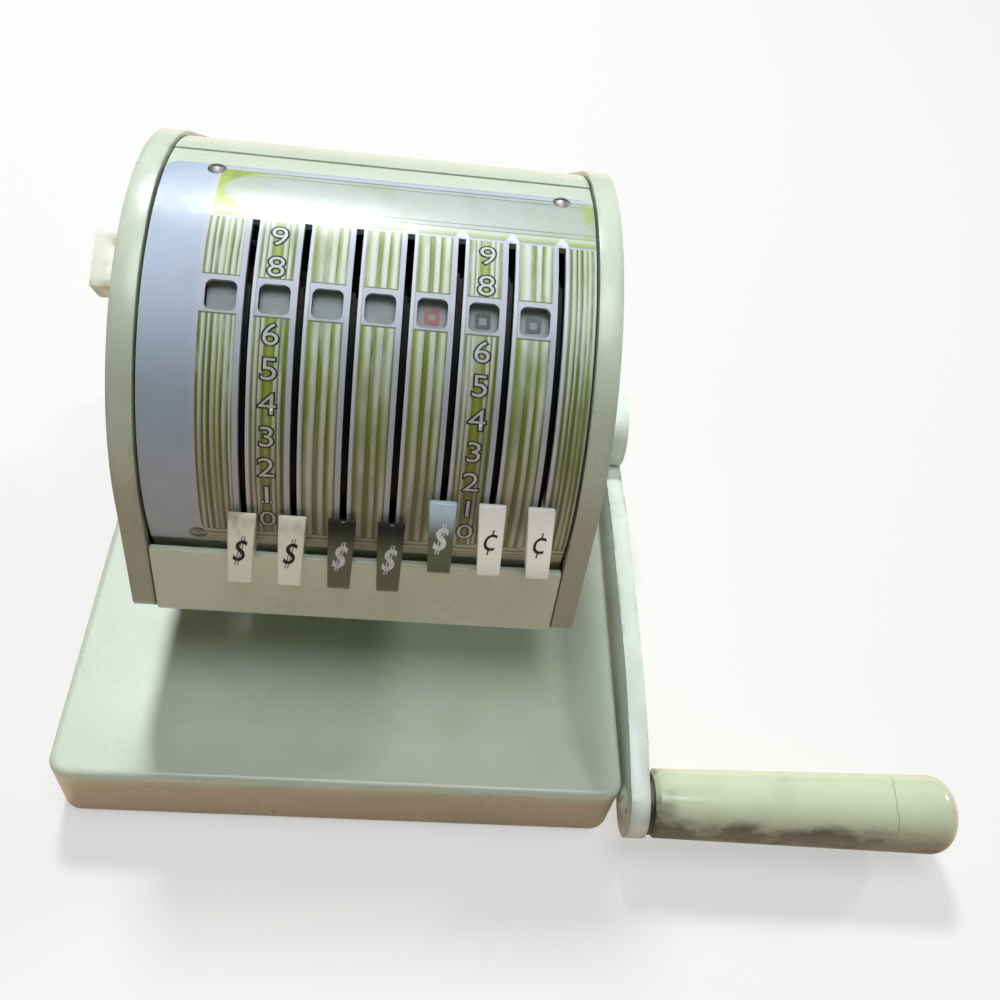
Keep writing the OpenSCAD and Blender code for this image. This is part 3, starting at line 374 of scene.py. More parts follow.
def headerPrint(tree, place, colour, x, angle, steps, offset, rightOf):
    # a bare pale band between green lines, with a lime bracket at its left end
    look = header
    leaf, lemon, moss = (srgb(*look[k]) for k in ("leaf", "lemon", "moss"))
    inField = calc(tree, "MULTIPLY", band(tree, angle, *look["field"]), rightOf)
    blot = remap(tree, noise(tree, place, 48.0, 4.0, 0.6), 0.46, 0.64)
    pane = blend(tree, calc(tree, "MULTIPLY", blot, 0.35), srgb(*look["pane"]), srgb(*look["blot"]))
    bend = calc(tree, "MULTIPLY", calc(tree, "SUBTRACT", angle, look["middle"]), 0.24)
    bend = calc(tree, "POWER", bend, 2.0)
    inner = calc(tree, "ADD", look["bracketEnd"], calc(tree, "MULTIPLY", bend, look["bracketBend"]))
    bracket = remap(tree, calc(tree, "SUBTRACT", x, inner), 0.0010, -0.0006)
    streak = remap(tree, noise(tree, place, 160.0, 3.0, 0.6, (1, 0.3, 0.3)), 0.42, 0.62)
    pane = blend(tree, bracket, pane, blend(tree, streak, lemon, leaf))
    farEnd = calc(tree, "MULTIPLY", remap(tree, x, 0.0640, 0.0675), blot)
    pane = blend(tree, farEnd, pane, lemon)
    colour = blend(tree, inField, colour, pane)
    yellowing = calc(tree, "MAXIMUM", remap(tree, x, -0.014, -0.044), remap(tree, x, 0.050, 0.066))
    lines = calc(tree, "MULTIPLY", calc(tree, "MULTIPLY", bands(tree, angle, look["lines"]), rightOf), 0.85)
    colour = blend(tree, lines, colour, blend(tree, yellowing, moss, srgb(*look["yellowed"])))
    rims = calc(tree, "MULTIPLY", bands(tree, angle, look["rims"]), rightOf)
    colour = blend(tree, calc(tree, "MULTIPLY", rims, 0.6), colour, srgb(*look["rim"]))
    # green shelf above the columns, with a pale peak over each slot
    shelf = calc(tree, "MULTIPLY", band(tree, angle, *look["shelf"]), rightOf)
    depth = remap(tree, angle, 80.3, 78.6)
    lowTint = blend(tree, yellowing, srgb(*look["shelfLow"]), lemon)
    shelfTint = blend(tree, depth, srgb(*look["shelfTop"]), lowTint)
    toSlot = calc(tree, "MINIMUM", offset, calc(tree, "SUBTRACT", keyPitch * 1000, offset))
    reach = calc(tree, "MULTIPLY", calc(tree, "SUBTRACT", look["peakTip"], angle), 0.87)
    peak = remap(tree, calc(tree, "SUBTRACT", toSlot, reach), 0.08, -0.08)
    atSlots = calc(tree, "MULTIPLY", calc(tree, "GREATER_THAN", steps, 0.5), calc(tree, "LESS_THAN", steps, 7.5))
    peak = calc(tree, "MULTIPLY", peak, atSlots)
    colour = blend(tree, shelf, colour, blend(tree, peak, shelfTint, srgb(*look["peak"])))
    sill = calc(tree, "MULTIPLY", band(tree, angle, *look["sill"]), rightOf)
    sill = calc(tree, "MULTIPLY", sill, calc(tree, "SUBTRACT", 1.0, peak))
    return blend(tree, calc(tree, "MULTIPLY", sill, 0.7), colour, moss)


def facePrint():
    material, tree, shader, place = newMaterial("facePrint")
    look = facePlate
    x, angle = drumAngle(tree, place)
    steps = calc(tree, "DIVIDE", calc(tree, "SUBTRACT", x, keyX[0] - keyPitch), keyPitch)
    offset = calc(tree, "MULTIPLY", calc(tree, "FRACT", steps), keyPitch * 1000)
    column = calc(tree, "FLOOR", steps)
    first = calc(tree, "LESS_THAN", column, 0.5)
    beside = calc(tree, "GREATER_THAN", column, 6.5)
    plain = calc(tree, "SUBTRACT", 1.0, beside)
    start = calc(tree, "SUBTRACT", look["panelFrom"], calc(tree, "MULTIPLY", first, 0.6))
    span = calc(tree, "SUBTRACT", look["panelTo"], start)
    across = calc(tree, "DIVIDE", calc(tree, "SUBTRACT", offset, start), span)
    painted, foot = paintedFlutes(tree, place, angle, column, across, first, beside)
    # lilac margin, with a painted highlight on each slot's edge and a painted shadow line beside it, and a bluer
    # strip at the left
    inStrip = remap(tree, x, look["stripeFrom"] - 0.0008, look["stripeFrom"] + 0.0004, 1.0, 0.0)
    base = blend(tree, inStrip, srgb(*look["margin"]), srgb(*look["strip"]))
    rightOf = calc(tree, "GREATER_THAN", x, look["stripeFrom"] + 0.0015)
    slots = calc(tree, "MULTIPLY", remap(tree, angle, 1.0, 3.0), remap(tree, angle, 80.0, 78.5))
    slots = calc(tree, "MULTIPLY", slots, calc(tree, "GREATER_THAN", steps, 0.5))
    # painted highlight along each slot's right edge
    lip = calc(tree, "MULTIPLY", remap(tree, offset, look["lipTo"] + 0.1, look["lipTo"] - 0.1), slots)
    base = blend(tree, calc(tree, "MULTIPLY", lip, 0.7), base, srgb(*look["lip"]))
    # painted shadow line a little beside the slot
    foldShadow = calc(tree, "MULTIPLY", calc(tree, "COMPARE", offset, look["foldShadowAt"], 0.12), slots)
    base = blend(tree, calc(tree, "MULTIPLY", foldShadow, 0.6), base, srgb(*look["foldShadow"]))
    # the margin greys towards the foot: wear and painted shade
    base = blend(tree, calc(tree, "MULTIPLY", foot, 0.3), base, srgb(*look["soilAndShade"]))
    clouds = remap(tree, noise(tree, place, 34.0, 4.0), 0.35, 0.7, 0.0, 0.22)
    base = blend(tree, clouds, base, srgb(*look["cloud"]))
    # the foot of each panel is rounded
    inPanel = calc(tree, "MULTIPLY", remap(tree, across, -0.012, 0.012), remap(tree, across, 1.012, 0.988))
    inPanel = calc(tree, "MULTIPLY", inPanel, calc(tree, "GREATER_THAN", x, keyX[0] - keyPitch))
    inWindow = calc(tree, "MULTIPLY", band(tree, angle, look["windowLow"], look["windowHigh"]), plain)
    fromMiddle = calc(tree, "ABSOLUTE", calc(tree, "SUBTRACT", calc(tree, "MULTIPLY", across, 2.0), 1.0))
    corner = calc(tree, "MULTIPLY", calc(tree, "POWER", fromMiddle, 6.0), look["footRound"])
    above = calc(tree, "SUBTRACT", angle, calc(tree, "ADD", look["stripeLow"], corner))
    inHeight = calc(tree, "MULTIPLY", remap(tree, above, -0.1, 0.1),
                    remap(tree, angle, look["stripeTop"] + 0.1, look["stripeTop"] - 0.1))
    inside = calc(tree, "MULTIPLY", calc(tree, "MULTIPLY", inPanel, inHeight), calc(tree, "SUBTRACT", 1.0, inWindow))
    colour = blend(tree, inside, base, painted)
    # thin lines that close the panels above and below the windows, and round their feet
    line = bands(tree, angle, [(look["windowLow"] - 0.35, look["windowLow"]),
                               (look["windowHigh"], look["windowHigh"] + 0.3)])
    line = calc(tree, "MULTIPLY", calc(tree, "MULTIPLY", line, inPanel), plain)
    rim = calc(tree, "MULTIPLY", calc(tree, "MULTIPLY", remap(tree, above, 0.45, 0.25), inside), 0.9)
    colour = blend(tree, calc(tree, "MAXIMUM", line, rim), colour, srgb(*look["line"]))
    colour = headerPrint(tree, place, colour, x, angle, steps, offset, rightOf)
    # foot of the plate: brownish ground with three thin bars
    ground = calc(tree, "MULTIPLY", calc(tree, "MULTIPLY", remap(tree, angle, -1.4, -2.2), rightOf), 0.75)
    colour = blend(tree, ground, colour, srgb(*look["ground"]))
    bars = calc(tree, "MULTIPLY", calc(tree, "MULTIPLY", bands(tree, angle, look["bars"]), rightOf), 0.8)
    colour = blend(tree, bars, colour, srgb(*look["bar"]))
    aged = placeGroup(tree, grime, Place=place, Clean=colour, Dirt=srgb(*look["dirt"]), Amount=0.3,
                      Scale=40.0)["Colour"]
    plug(tree, shader.inputs["Base Color"], aged)
    gloss = placeGroup(tree, grain, Place=place, Scale=260.0, Low=0.32, High=0.46)
    plug(tree, shader.inputs["Roughness"], gloss["Value"])
    shader.inputs["Coat Weight"].default_value = 0.15
    shader.inputs["Coat Roughness"].default_value = 0.22
    giveBump(tree, shader, gloss["Height"], 0.00006)
    return material


plastics = {
    # each tip colour is painted light: a highlight on the cream caps, shade on the worn cream and olive caps, a pale
    # blue reflection on the slate cap
    "cream": {"colour": (253, 255, 244), "dirt": (140, 128, 96), "grime": 0.12, "rough": (0.12, 0.24),
              "tip": (254, 255, 252), "tipLightAmount": 0.9, "patchy": False},
    "creamWorn": {"colour": (252, 255, 238), "dirt": (124, 112, 80), "grime": 0.2, "rough": (0.14, 0.26),
                  "tip": (150, 146, 120), "tipLightAmount": 0.55, "patchy": True},
    "olive": {"colour": (114, 116, 96), "dirt": (42, 44, 36), "grime": 0.35, "rough": (0.14, 0.26),
              "tip": (34, 36, 36), "tipLightAmount": 0.9, "patchy": False},
    "slate": {"colour": (104, 108, 88), "dirt": (60, 62, 50), "grime": 0.3, "rough": (0.10, 0.18),
              "tip": (202, 226, 246), "tipLightAmount": 1.0, "patchy": False},
}


def glossPlastic(name, look):
    material, tree, shader, place = newMaterial(name)
    low, high = look["rough"]
    colour = placeGroup(tree, grime, Place=place, Clean=srgb(*look["colour"]), Dirt=srgb(*look["dirt"]),
                        Amount=look["grime"], Scale=60.0)["Colour"]
    # painted light at the tip of a cap, close to the drum: a painted highlight or reflection, or painted shade
    tip = remap(tree, drumRadius(tree, place)[1], 0.0870, 0.0800, 0.0, look["tipLightAmount"])
    if look["patchy"]:
        tip = calc(tree, "MULTIPLY", tip, remap(tree, noise(tree, place, 130.0, 2.0), 0.40, 0.66))
    colour = blend(tree, tip, colour, srgb(*look["tip"]))
    plug(tree, shader.inputs["Base Color"], colour)
    gloss = placeGroup(tree, grain, Place=place, Scale=500.0, Low=low, High=high)
    plug(tree, shader.inputs["Roughness"], gloss["Value"])
    giveBump(tree, shader, gloss["Height"], 0.00004)
    return material


metals = {
    "wornSteel": {"colour": (142, 142, 146), "dirt": (66, 62, 56), "grime": 0.8, "rough": (0.46, 0.62)},
    "steel": {"colour": (168, 170, 168), "dirt": (90, 84, 76), "grime": 0.5, "rough": (0.28, 0.46)},
    "frameSteel": {"colour": (128, 132, 130), "dirt": (70, 62, 52), "grime": 0.5, "rough": (0.35, 0.55)},
    "darkSteel": {"colour": (46, 46, 46), "dirt": (24, 22, 20), "grime": 0.4, "rough": (0.38, 0.55)},
    "brass": {"colour": (190, 154, 92), "dirt": (92, 70, 40), "grime": 0.5, "rough": (0.3, 0.45)},
    "iron": {"colour": (92, 92, 94), "dirt": (52, 46, 42), "grime": 0.5, "rough": (0.45, 0.62)},
}


def bareMetal(name, look):
    material, tree, shader, place = newMaterial(name)
    low, high = look["rough"]
    colour = placeGroup(tree, grime, Place=place, Clean=srgb(*look["colour"]), Dirt=srgb(*look["dirt"]),
                        Amount=look["grime"], Scale=90.0)["Colour"]
    plug(tree, shader.inputs["Base Color"], colour)
    shader.inputs["Metallic"].default_value = 1.0
    gloss = placeGroup(tree, grain, Place=place, Scale=900.0, Low=low, High=high)
    plug(tree, shader.inputs["Roughness"], gloss["Value"])
    giveBump(tree, shader, gloss["Height"], 0.00006)
    return material


def softRubber(name, colour, low, high):
    material, tree, shader, place = newMaterial(name)
    tinted = placeGroup(tree, grime, Place=place, Clean=srgb(*colour), Dirt=srgb(96, 92, 86), Amount=0.3,
                        Scale=70.0)["Colour"]
    plug(tree, shader.inputs["Base Color"], tinted)
    gloss = placeGroup(tree, grain, Place=place, Scale=700.0, Low=low, High=high)
    plug(tree, shader.inputs["Roughness"], gloss["Value"])
    giveBump(tree, shader, gloss["Height"], 0.0001)
    return material


grip = {"clean": (207, 218, 190), "brown": (68, 60, 43), "axisY": -0.1131, "axisZ": 0.0253, "shadeAndDirtFrom": -0.0020,
        "shadeAndDirtTo": -0.0085, "crackAt": 0.2045, "crackSway": 0.008}


def gripPlastic():
    material, tree, shader, place = newMaterial("gripPlastic")
    x, y, z = split(tree, place)
    # the lower front is darker: painted shade, mottled like dirt
    behind, above = calc(tree, "SUBTRACT", y, grip["axisY"]), calc(tree, "SUBTRACT", z, grip["axisZ"])
    upBack = calc(tree, "ADD", calc(tree, "MULTIPLY", behind, 0.82), calc(tree, "MULTIPLY", above, 0.57))
    stain = remap(tree, noise(tree, place, 60.0, 5.0, 0.65, (0.6, 1, 1)), 0.38, 0.62)
    upBack = calc(tree, "ADD", upBack, calc(tree, "MULTIPLY", calc(tree, "SUBTRACT", stain, 0.5), -0.003))
    below = remap(tree, upBack, grip["shadeAndDirtFrom"], grip["shadeAndDirtTo"])
    ends = remap(tree, x, 0.124, 0.1145, 0.0, 0.75)
    shadedAndStained = calc(tree, "MULTIPLY", below, calc(tree, "ADD", calc(tree, "MULTIPLY", stain, 0.3), 0.7))
    dirt = calc(tree, "MAXIMUM", shadedAndStained, calc(tree, "MULTIPLY", ends, calc(tree, "ADD", stain, 0.1)))
    colour = placeGroup(tree, grime, Place=place, Clean=srgb(*grip["clean"]), Dirt=srgb(132, 120, 86), Amount=0.35,
                        Scale=36.0)["Colour"]
    # the brown is painted shade on the lower front, and real dirt towards the end
    colour = blend(tree, calc(tree, "MINIMUM", dirt, 0.88), colour, srgb(*grip["brown"]))
    # a hairline crack runs round the grip near its end
    vein = noise(tree, place, 55.0, 3.0, 0.6, (0.1, 1, 1))
    ringPlace = calc(tree, "ADD", grip["crackAt"] - grip["crackSway"] / 2,
                     calc(tree, "MULTIPLY", vein, grip["crackSway"]))
    crack = remap(tree, calc(tree, "ABSOLUTE", calc(tree, "SUBTRACT", x, ringPlace)), 0.00022, 0.00008)
    colour = blend(tree, calc(tree, "MULTIPLY", crack, 0.6), colour, srgb(120, 106, 74))
    plug(tree, shader.inputs["Base Color"], colour)
    gloss = placeGroup(tree, grain, Place=place, Scale=420.0, Low=0.10, High=0.24)
    plug(tree, shader.inputs["Roughness"], calc(tree, "ADD", gloss["Value"], calc(tree, "MULTIPLY", dirt, 0.25)))
    shader.inputs["Coat Weight"].default_value = 0.4
    shader.inputs["Coat Roughness"].default_value = 0.05
    giveBump(tree, shader, calc(tree, "SUBTRACT", calc(tree, "MULTIPLY", gloss["Height"], 0.2), crack), 0.0001)
    return material


dialRim = {"radius": 0.07235, "blade": (12, 12, 13), "paint": (178, 188, 194), "from": 0.0022, "to": 0.0134}


def sectorSteel():
    # near-black blades, standing in for the shade inside the slots, whose window rim is painted grey
    material, tree, shader, place = newMaterial("sectorSteel")
    x, radius = drumRadius(tree, place)
    painted = calc(tree, "COMPARE", radius, dialRim["radius"], 0.0005)
    # only below its window is the rim painted
    steps = calc(tree, "FRACT", calc(tree, "DIVIDE", calc(tree, "SUBTRACT", x, keyX[0] - keyPitch), keyPitch))
    offset = calc(tree, "MULTIPLY", steps, keyPitch)
    painted = calc(tree, "MULTIPLY", painted, calc(tree, "GREATER_THAN", offset, dialRim["from"]))
    painted = calc(tree, "MULTIPLY", painted, calc(tree, "LESS_THAN", offset, dialRim["to"]))
    # the near-black is painted shade for the inside of the slots
    slotShade = placeGroup(tree, grime, Place=place, Clean=srgb(*dialRim["blade"]), Dirt=srgb(7, 7, 7),
                      Amount=0.6, Scale=90.0)["Colour"]
    light = placeGroup(tree, grime, Place=place, Clean=srgb(*dialRim["paint"]), Dirt=srgb(96, 98, 100), Amount=0.4,
                       Scale=120.0)["Colour"]
    plug(tree, shader.inputs["Base Color"], blend(tree, painted, slotShade, light))
    plug(tree, shader.inputs["Metallic"], calc(tree, "SUBTRACT", 0.5, calc(tree, "MULTIPLY", painted, 0.5)))
    gloss = placeGroup(tree, grain, Place=place, Scale=700.0, Low=0.4, High=0.6)
    plug(tree, shader.inputs["Roughness"], gloss["Value"])
    giveBump(tree, shader, gloss["Height"], 0.00005)
    return material


def ink(name, colour, rough=0.35):
    material, tree, shader, place = newMaterial(name)
    wear = remap(tree, noise(tree, place, 1800.0, 3.0), 0.40, 0.7, 0.0, 0.25)
    plug(tree, shader.inputs["Base Color"], blend(tree, wear, srgb(*colour), srgb(128, 126, 120)))
    gloss = placeGroup(tree, grain, Place=place, Scale=900.0, Low=rough - 0.08, High=rough + 0.08)
    plug(tree, shader.inputs["Roughness"], gloss["Value"])
    return material


paint = {
    "face": facePrint(), "grip": gripPlastic(), "sector": sectorSteel(),
    "footRubber": softRubber("footRubber", (42, 41, 40), 0.6, 0.8),
    "inkRubber": softRubber("inkRubber", (22, 22, 30), 0.35, 0.55),
    "blackInk": ink("blackInk", (30, 32, 24)), "whiteInk": ink("whiteInk", (222, 226, 228)),
    "digitInk": ink("digitInk", (204, 210, 216)), "outlineInk": ink("outlineInk", (26, 30, 14)),
    "redInk": ink("redInk", (190, 84, 96)), "greyInk": ink("greyInk", (70, 74, 80)),
}
for name, look in enamel.items():
    paint[name] = enamelPaint(name + "Enamel", look)
for name, look in plastics.items():
    paint[name] = glossPlastic(name + "Plastic", look)
for name, look in metals.items():
    paint[name] = bareMetal(name, look)
print("materials made:", len(paint))

finishes = {
    "base_casting": "base", "left_cheek": "cheek", "right_cheek": "cheek", "front_cover": "body", "lip_panel": "body",
    "throat_plate": "body", "throat_guard": "body", "rear_cover": "body", "face_plate": "face",
    "face_plate_screws": "wornSteel",
    "handle_arm": "arm", "handle_grip": "grip", "grip_ferrule": "iron", "grip_bolt": "arm", "repeat_key": "creamWorn",
    "rubber_feet": "footRubber", "platen_pad": "footRubber", "ink_roller": "inkRubber", "bottom_plate": "iron",
    "left_side_frame": "darkSteel", "right_side_frame": "darkSteel", "detent_bar": "darkSteel",
    "detent_springs": "frameSteel", "platen": "iron", "platen_rocker": "frameSteel", "drive_cam": "frameSteel",
    "arm_spacer": "frameSteel", "shaft_bushes": "brass",
}
for name, node in nodes.items():
    finish = "sector" if name.startswith("type_sector") else finishes.get(name, "steel")
    node.data.materials.clear()
    node.data.materials.append(paint[finish])


def roundEdges(name, width, segments=3, angle=30):
    node = nodes[name]
    weld = node.modifiers.new("weld", "WELD")
    weld.merge_threshold = 0.00001
    flat = node.modifiers.new("flat", "DECIMATE")
    flat.decimate_type = "DISSOLVE"
    flat.angle_limit = math.radians(0.5)
    bevel = node.modifiers.new("bevel", "BEVEL")
    bevel.width = width
    bevel.segments = segments
    bevel.limit_method = "ANGLE"
    bevel.angle_limit = math.radians(angle)
    bevel.use_clamp_overlap = True
    bevel.harden_normals = False


edgeRounds = {"left_cheek": 0.0011, "right_cheek": 0.0011, "handle_arm": 0.0010, "lip_panel": 0.0006,
              "repeat_key": 0.0007, "grip_ferrule": 0.0005}
for name, width in edgeRounds.items():
    roundEdges(name, width)


digitTall = 0.7  # height of a digit in the font's own units


def glyph(characters, height, bold=0.0, line=0.0, shear=0.0, wide=1.0):
    # flat characters, centred and "height" tall, or only their outline where "line" is its half width
    curve = bpy.data.curves.new("glyph", "FONT")
    curve.body = characters
    curve.align_x = "CENTER"
    curve.offset = bold
    curve.shear = shear
    curve.resolution_u = 6
    if line:
        curve.fill_mode = "NONE"
        curve.bevel_depth = line
        curve.bevel_resolution = 0
    holder = bpy.data.objects.new("glyph", curve)
    scene.collection.objects.link(holder)
    mesh = bpy.data.meshes.new_from_object(holder.evaluated_get(bpy.context.evaluated_depsgraph_get()))
    bpy.data.objects.remove(holder)
    bpy.data.curves.remove(curve)
    build = bmesh.new()
    build.from_mesh(mesh)
    bpy.data.meshes.remove(mesh)
    ys = [v.co.y for v in build.verts]
    xs = [v.co.x for v in build.verts]
    middle = Vector(((min(xs) + max(xs)) / 2, (min(ys) + max(ys)) / 2, 0))
    size = height / (max(ys) - min(ys) - 2 * bold - 2 * line)
    bmesh.ops.translate(build, vec=-middle, verts=build.verts)
    bmesh.ops.scale(build, vec=(size * wide, size, size * 0.2), verts=build.verts)
    return build


def addRows(build, span, rows):
    # extra rows, so that a flat shape can follow a curve
    for i in range(1, rows):
        bmesh.ops.bisect_plane(build, geom=build.verts[:] + build.edges[:] + build.faces[:],
                               plane_co=(0, -span / 2 + span * i / rows, 0), plane_no=(0, 1, 0))


def wrapOnDrum(build, x, angle, radius):
    for vert in build.verts:
        a, out = math.radians(angle) + vert.co.y / radius, radius + vert.co.z
        vert.co = Vector((x + vert.co.x, axisY - out * math.cos(a), axisZ + out * math.sin(a)))


def toObject(build, name, material, body, smooth=False):
    bmesh.ops.remove_doubles(build, verts=build.verts, dist=1e-7)
    mesh = bpy.data.meshes.new(name)
    build.to_mesh(mesh)
    build.free()
    if smooth:
        mesh.shade_smooth()
    mesh.materials.append(material)
    piece = bpy.data.objects.new(name, mesh)
    scene.collection.objects.link(piece)
    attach(piece, body)
    return piece


def gather(builds):
    # several small meshes as one
    whole = bmesh.new()
    for build in builds:
        part = bpy.data.meshes.new("part")
        build.to_mesh(part)
        build.free()
        whole.from_mesh(part)
        bpy.data.meshes.remove(part)
    return whole


def bar(x0, y0, x1, y1, width):
    # a thin flat bar between two points
    build = bmesh.new()
    bmesh.ops.create_grid(build, x_segments=1, y_segments=1, size=0.5)
    way = Vector((x1 - x0, y1 - y0, 0))
    bmesh.ops.scale(build, vec=(way.length, width, 1), verts=build.verts)
    bmesh.ops.rotate(build, matrix=Matrix.Rotation(math.atan2(way.y, way.x), 3, "Z"), verts=build.verts)
    bmesh.ops.translate(build, vec=((x0 + x1) / 2, (y0 + y1) / 2, 0), verts=build.verts)
    return build


printedDigits = {"columns": (-0.0278, 0.0351), "zero": 3.7, "step": 7.75, "height": 0.0066, "radius": 0.0765,
                 "wide": 1.22, "bold": 0.018, "line": 0.023, "foot": 0.0032}


def addPrintedDigits():
    look = printedDigits
    for layer, line, lift, finish in (("fill", 0.0, 0.00005, "digitInk"),
                                      ("outline", look["line"], 0.00007, "outlineInk")):
        builds = []
        for x in look["columns"]:
            for digit in range(10):
                if digit == 7:
                    continue
                build = glyph(str(digit), look["height"], look["bold"], line, wide=look["wide"])
                if digit == 1:
                    # its foot, a little off the digit's own plane
                    grow = line * look["height"] / digitTall
                    low = -look["height"] / 2 + 0.0004
                    foot = bar(-look["foot"] / 2 - grow, low, look["foot"] / 2 + grow, low, 0.0008 + 2 * grow)
                    bmesh.ops.translate(foot, vec=(0, 0, -lift / 2 if line else 0.00002), verts=foot.verts)
                    build = gather([build, foot])
                addRows(build, 0.009, 5)
                wrapOnDrum(build, x, look["zero"] + look["step"] * digit, look["radius"] + lift)
                builds.append(build)
        toObject(gather(builds), "digits_" + layer, paint[finish], "base")


addPrintedDigits()

windowDigits = {"height": 0.0044, "angle": 58.0, "blank": -2.05, "step": 7.75, "square": 0.0048, "stroke": 0.0012}


def squareZero(size, stroke):
    # a ring with square corners a little rounded
    build = bmesh.new()
    bmesh.ops.create_grid(build, x_segments=1, y_segments=1, size=size / 2)
    bmesh.ops.bevel(build, geom=build.verts[:], offset=size * 0.16, segments=3, profile=0.5, affect="VERTICES",
                    material=-1)
    bmesh.ops.inset_region(build, faces=build.faces[:], thickness=stroke, use_boundary=True, use_even_offset=True)
    middle = max(build.faces, key=lambda f: f.calc_area())
    bmesh.ops.delete(build, geom=[middle], context="FACES_ONLY")
    return build


def addWindowDigits():
    look = windowDigits
    radius = dialRim["radius"] + 0.00005
    for lever in range(7):
        builds = []
        for digit in range(10):
            # the digit stands in the window when the lever has gone up that far
            leverAngle = look["blank"] + look["step"] * (digit + 1)
            turn = look["angle"] - leverAngle + restAngle[lever]
            if digit == 0:
                build = squareZero(look["square"], look["stroke"])
            else:
                build = glyph(str(digit), look["height"], 0.02)
            addRows(build, 0.006, 3)
            wrapOnDrum(build, keyX[lever] - keyPitch / 2, turn, radius)
            builds.append(build)
        finish = "redInk" if lever == 4 else "greyInk"
        toObject(gather(builds), f"dial_digits_{lever + 1}", paint[finish], f"lever_{lever + 1}")


addWindowDigits()
print("digits made")


caps = {
    # front of the side profile from tip to foot: radius from the shaft and angle from the lever
    "front": [(0.0797, 8.75), (0.0818, 6.9), (0.0842, 4.6), (0.0871, 2.2), (0.0895, 0.2), (0.0914, -1.2),
              (0.0930, -2.6), (0.0928, -3.3)],
    "back": 0.0780, "top": 8.8, "low": -4.0, "widthTop": 0.0088, "widthLow": 0.0070, "round": 0.00055,
    # the hollows beside the rib: half the rib's width, its flank, its height, and where the hollows lie
    "rib": 0.0013, "flank": 0.0004, "ribRise": 0.00055, "hollowFrom": 0.0789, "hollowTo": 0.0830, "hollowLow": 0.007,
    "tints": ["creamWorn", "creamWorn", "olive", "olive", "slate", "cream", "cream"],
    "marks": ["dollar", "dollar", "dollar", "dollar", "dollar", "cent", "cent"],
    "inks": ["blackInk", "blackInk", "whiteInk", "whiteInk", "whiteInk", "blackInk", "blackInk"],
}


def drumPoint(radius, angle, x):
    a = math.radians(angle)
    return Vector((x, axisY - radius * math.cos(a), axisZ + radius * math.sin(a)))


def addCap(lever):
    build = bmesh.new()
    outline = [(caps["back"], caps["top"])] + caps["front"] + [(caps["back"], caps["low"])]
    outline += [(caps["back"], caps["low"] + (caps["top"] - caps["low"]) * i / 5) for i in range(1, 5)]
    side = build.faces.new([build.verts.new(drumPoint(r, a, -0.5)) for r, a in outline])
    grown = bmesh.ops.extrude_face_region(build, geom=[side])["geom"]
    bmesh.ops.translate(build, vec=(1, 0, 0), verts=[g for g in grown if isinstance(g, bmesh.types.BMVert)])
    bmesh.ops.recalc_face_normals(build, faces=build.faces[:])
    # narrower towards its foot
    for vert in build.verts:
        angle = math.degrees(math.atan2(vert.co.z - axisZ, axisY - vert.co.y))
        share = (angle - caps["low"]) / (caps["top"] - caps["low"])
        vert.co.x *= caps["widthLow"] + (caps["widthTop"] - caps["widthLow"]) * share
    sharp = [e for e in build.edges if e.calc_face_angle(0) > math.radians(35)]
    bmesh.ops.bevel(build, geom=sharp, offset=caps["round"], segments=3, profile=0.5, affect="EDGES", material=-1)
    if lever < 4:
        # the end of the lever shows as a rib between two hollows in the tip
        ribEdges = (caps["rib"], caps["rib"] + caps["flank"])
        for x in (-ribEdges[1], -ribEdges[0], *ribEdges):
            bmesh.ops.bisect_plane(build, geom=build.verts[:] + build.edges[:] + build.faces[:],
                                   plane_co=(x, 0, 0), plane_no=(1, 0, 0))
        for vert in build.verts:
            out = Vector((0, vert.co.y - axisY, vert.co.z - axisZ))
            atTip = caps["hollowFrom"] < out.length < caps["hollowTo"] and out.z > caps["hollowLow"]
            if atTip and abs(vert.co.x) > caps["rib"] + caps["flank"] / 2:
                vert.co -= out.normalized() * caps["ribRise"]
    bmesh.ops.rotate(build, cent=(0, axisY, axisZ), matrix=Matrix.Rotation(math.radians(-restAngle[lever]), 3, "X"),
                     verts=build.verts)
    bmesh.ops.translate(build, vec=(keyX[lever], 0, 0), verts=build.verts)
    name = f"cap_{lever + 1}"
    piece = toObject(build, name, paint[caps["tints"][lever]], f"lever_{lever + 1}", smooth=True)
    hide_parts(f"key_cap_{lever + 1}")


def capFront(distance):
    # point on the front profile at a distance below the upper tip
    flat = [Vector((-r * math.cos(math.radians(a)), r * math.sin(math.radians(a)))) for r, a in caps["front"]]
    for first, second in zip(flat, flat[1:]):
        length = (second - first).length
        if distance <= length:
            share = max(distance, 0) / length
            normal = Vector((-(first - second).y, (first - second).x)).normalized()
            return first.lerp(second, share), normal
        distance -= length
    return flat[-1], normal


marks = {"from": 0.0113, "dollar": 0.0066, "cent": 0.0053, "slant": 0.22, "lift": 0.00006}


def addMark(lever):
    kind = caps["marks"][lever]
    height, lean = marks[kind], marks["slant"]
    heavy = caps["inks"][lever] == "whiteInk"
    if kind == "dollar":
        letter = glyph("S", height, 0.03 if heavy else 0.012, shear=lean, wide=0.92)
        reach = height * 0.73
        bars = [bar(dx - reach * lean, -reach, dx + reach * lean, reach, 0.00036 if heavy else 0.00028)
                for dx in (-0.00042, 0.00042)]
    else:
        letter = glyph("c", height, -0.006, shear=lean, wide=0.95)
        reach = height * 0.76
        bars = [bar(reach * 0.5 * lean, reach * 0.55, reach * lean, reach, 0.00045),
                bar(-reach * lean, -reach, -reach * 0.5 * lean, -reach * 0.55, 0.00045)]
    build = gather([letter] + bars)
    addRows(build, 0.009, 8)
    for vert in build.verts:
        point, normal = capFront(marks["from"] - vert.co.y)
        point = point + normal * marks["lift"]
        radius, angle = point.length, math.degrees(math.atan2(point.y, -point.x))
        vert.co = drumPoint(radius, angle + restAngle[lever], keyX[lever] + vert.co.x)
    toObject(build, f"mark_{lever + 1}", paint[caps["inks"][lever]], f"lever_{lever + 1}")


for lever in range(7):
    addCap(lever)
    addMark(lever)
print("key caps made")


